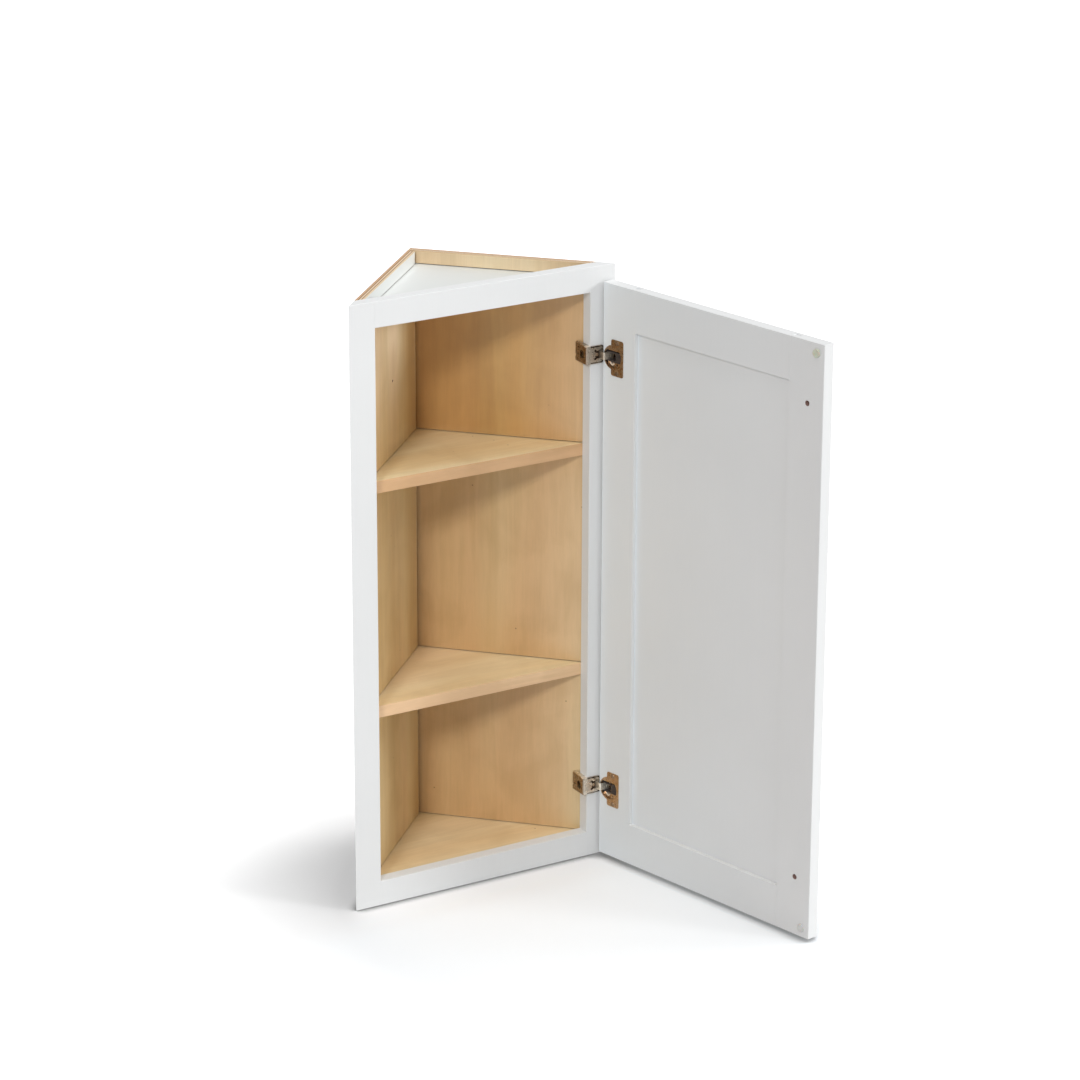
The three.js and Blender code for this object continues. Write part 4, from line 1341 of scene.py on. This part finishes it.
lying_left = (0, -math.pi / 2, 0)
facing_front, facing_back = (math.pi / 2, 0, 0), (-math.pi / 2, 0, 0)
mount_screw = stand(pan_screw("screw", 3.1, 14), (ON_EDGE - 1.35, SLOT_BACK, 0), lying_left)
adjust_screw = stand(pan_screw("screw", 2.4, 5), (ADJUST_X, -1, 0), facing_front)
cup_screws = {
    place: stand(pan_screw("screw", 3.1, 12), (CUP_SCREW_X, FLANGE_Y[1] + 0.05, z), facing_back)
    for place, z in (("top", CUP_SCREW_OFF), ("bottom", -CUP_SCREW_OFF))
}
plastic = {"upper": dark_plastic, "lower": dark_plastic}
# The wing is one plate, but these faces get other platings by how light falls on them. The front
# leg and the top fold are lighter, as painted light, and the corner of the fold is a painted
# highlight. The rim groove, the inside of the slot and the arm's foot are nearly black, as painted
# shade.
raised_leg_in_painted_light = (
    plate_in_painted_light, lambda m, w: m.y < LIP_FRONT + 0.05 and w.y < -0.9 and m.x > WING_LEFT + 1.7
)
rim_groove_in_painted_shade = (shaded_plate, lambda m, w: abs(m.y - RIM_FRONT) < 0.1 and w.y < -0.9)
behind_slot_in_painted_shade = (shaded_plate, lambda m, w: m.x > ON_EDGE - STEEL - 0.1 and w.x < -0.9)
top_fold_in_painted_light = (plate_in_painted_light, on_top_fold)
fold_with_painted_highlight = (bright_plate_and_highlight, lambda m, w: m.y < 5 and on_top_fold(m, w))
in_shade = (shaded_plate, lambda m, w: m.y > RIM_FRONT - 0.1)
hinge_piece(
    "wing", wing(), "cabinet", "hinge_steel", side_plate, "wing",
    raised_leg_in_painted_light, rim_groove_in_painted_shade, behind_slot_in_painted_shade, top_fold_in_painted_light, fold_with_painted_highlight,
)
hinge_piece("arm", arm(), "cabinet", "bright_steel", neck_plate, "arm", in_shade)
# The mounting screw lies in the slot and is painted nearly black, as painted shade.
hinge_piece("mount_screw", mount_screw, "cabinet", "bright_steel", shaded_plate, "mount_screw")
hinge_piece("adjust_screw", adjust_screw, "cabinet", "bright_steel", screw_plate, "adjust_screw")
hinge_piece("cup", cup(), "door", "hinge_steel", warm_plate, "cup")
hinge_piece("damper", damper(), "door", "dark_plastic", plastic, "damper")
hinge_piece("pin", pivot_pin(), "door", "bright_steel", bright_plate_and_highlight, "pivot_pin")
hinge_piece("lever", lever(), "door", "bright_steel", bright_plate_and_highlight, "closing_spring")
hinge_piece("bracket", bracket(), "door", "hinge_steel", warm_plate, "closing_spring")
for place, screw in cup_screws.items():
    node = "cup_screw_" + place
    hinge_piece(node, screw, "door", "bright_steel", screw_plate, node)

# %% [markdown]
# ## Camera
# The cabinet is seen from the left and from above, through a long lens, turned, tipped and rolled
# by the angles below. The picture is square, and a 36 mm sensor with this lens frames it.

# %% The camera
YAW, PITCH, ROLL = 0.53385271, 0.34688364, 0.00359370
LENS, SENSOR = 135.76, 36
bpy.ops.object.camera_add(location=(-2.829899, -4.868805, 2.059001))
camera = bpy.context.object
camera.name = "camera"
forward = Vector(
    (math.sin(YAW) * math.cos(PITCH), math.cos(YAW) * math.cos(PITCH), -math.sin(PITCH))
)
right = Vector((math.cos(YAW), -math.sin(YAW), 0))
up = right.cross(forward)
level = Matrix((right, up, -forward)).transposed().to_4x4()
camera.rotation_euler = (level @ Matrix.Rotation(ROLL, 4, "Z")).to_euler()
camera.data.lens, camera.data.sensor_width = LENS, SENSOR
camera.data.clip_start, camera.data.clip_end = 0.05, 500
bpy.context.scene.camera = camera
print("camera at", tuple(round(v, 2) for v in camera.location))

# %% [markdown]
# ## Floor, sky and lamps
# The cabinet stands on a white floor that runs out of the picture. For the camera the floor is
# pale enough to reach white where nothing shades it, and paler still away from the cabinet, so
# the long shadow fades out as it does on a studio sweep. A low lamp from the front right lights
# the frame, so the open door shades the right stile. A crisp one from the left reaches inside and
# draws the slanting shadows. Two wide ones, from above and from the right, fill the rest.

# %% Two looks in one, for the camera and for the light
def two_looks(tree, for_light, for_camera, output):
    """One shader for what the camera sees, also in metal, and one for light that bounces."""
    path = put(tree, "LightPath").outputs
    seen = greater(tree, path["Is Camera Ray"], path["Is Glossy Ray"])
    seen = greater(tree, seen, path["Is Transmission Ray"])
    looks = {0: seen, 1: for_light.outputs[0], 2: for_camera.outputs[0]}
    put(tree, output, {"Surface": put(tree, "MixShader", looks).outputs[0]})


# %% The floor
FLOOR_IN_BOUNCES = grey(0.75)
FLOOR_IN_FRONT, FLOOR_BESIDE_PAINTED_DARKER = (1.035, 1.062, 1.088), (0.963, 0.958, 0.958)
FLOOR_FAR = grey(1.4)
FADE_CENTRE, FADE = (0.05, -0.25, 0), (0.42, 0.6)
RIGHT_OF_DOOR, FRONT_TO_SIDE = (0.2, 0.36), (-0.2, -0.12)
UNDER_CABINET, UNDER_DOOR = (0.07, 0.22), (0.11, 0.57)


def floor_tone(tree):
    """Near white by the cabinet and a little darker beside it, as painted shade, and cooler in
    front, against the warm light from the wood. Over white away from it, and darkest where
    something touches, as painted contact shade, though less so under the door, which hangs clear."""
    place = own_place(tree)
    across, along, _ = put(tree, "SeparateXYZ", {0: place}).outputs
    away = put(tree, "VectorMath", {0: place, 1: FADE_CENTRE}, operation="DISTANCE")
    far = remap(tree, away.outputs["Value"], *FADE)
    fade = greater(tree, far, remap(tree, across, *RIGHT_OF_DOOR))
    # Painted contact shade: ambient occlusion darkens the floor where the cabinet and the door
    # come close to it.
    touch = put(tree, "AmbientOcclusion", {"Distance": 0.025}, samples=8).outputs["AO"]
    (cabinet_x, cabinet_dark), (door_x, door_dark) = UNDER_CABINET, UNDER_DOOR
    darkest = remap(tree, across, cabinet_x, door_x, cabinet_dark, door_dark)
    close = remap(tree, touch, 0.5, 0.82, darkest, 1)
    near = blend(tree, remap(tree, along, *FRONT_TO_SIDE), FLOOR_IN_FRONT, FLOOR_BESIDE_PAINTED_DARKER)
    return times(tree, blend(tree, fade, near, FLOOR_FAR), close)


def stage_floor():
    bpy.ops.object.select_all(action="DESELECT")
    bpy.ops.mesh.primitive_plane_add(size=120, location=(0, 0, CORNER.z - 0.0003))
    floor = bpy.context.object
    floor.name = "studio_floor"
    material = bpy.data.materials.new("studio_floor")
    tree = empty_tree(material)
    plain = put(tree, "BsdfDiffuse", {"Color": (*FLOOR_IN_BOUNCES, 1)})
    toned = put(tree, "BsdfDiffuse", {"Color": floor_tone(tree)})
    two_looks(tree, plain, toned, "OutputMaterial")
    floor.data.materials.append(material)


stage_floor()
print("floor ready")

# %% The sky
SKY = 0.11
world = bpy.data.worlds.new("studio")
bpy.context.scene.world = world
sky = empty_tree(world)
soft_light = put(sky, "Background", {"Color": (0.97, 0.985, 1, 1), "Strength": SKY})
white_back = put(sky, "Background", {"Color": (1, 1, 1, 1), "Strength": 1})
two_looks(sky, soft_light, white_back, "OutputWorld")
print("sky ready")


# %% Lamps
def lamp(name, azimuth, elevation, strength, spread, colour):
    """A far lamp. Azimuth 0 stands in front, and 90 to the right."""
    bpy.ops.object.light_add(type="SUN", location=(0, 0, 3))
    made = bpy.context.object
    made.name = name
    a, e = math.radians(azimuth), math.radians(elevation)
    towards = Vector((math.sin(a) * math.cos(e), -math.cos(a) * math.cos(e), math.sin(e)))
    made.rotation_euler = towards.to_track_quat("Z", "Y").to_euler()
    made.data.energy, made.data.angle, made.data.color = strength, math.radians(spread), colour
    print(name, strength)


lamp("key_lamp", 42, 14, 0.99, 14, (1, 1, 1))
lamp("left_lamp", -45, 31, 1.09, 9, (1, 0.995, 0.985))
lamp("overhead_lamp", 0, 75, 1.42, 60, (1, 1, 1))
lamp("right_fill_lamp", 80, 30, 1.14, 40, (1, 1, 1))

# %% [markdown]
# ## Finish
# The view transform is set to Standard.

# %% Finish
bpy.context.scene.view_settings.view_transform = "Standard"
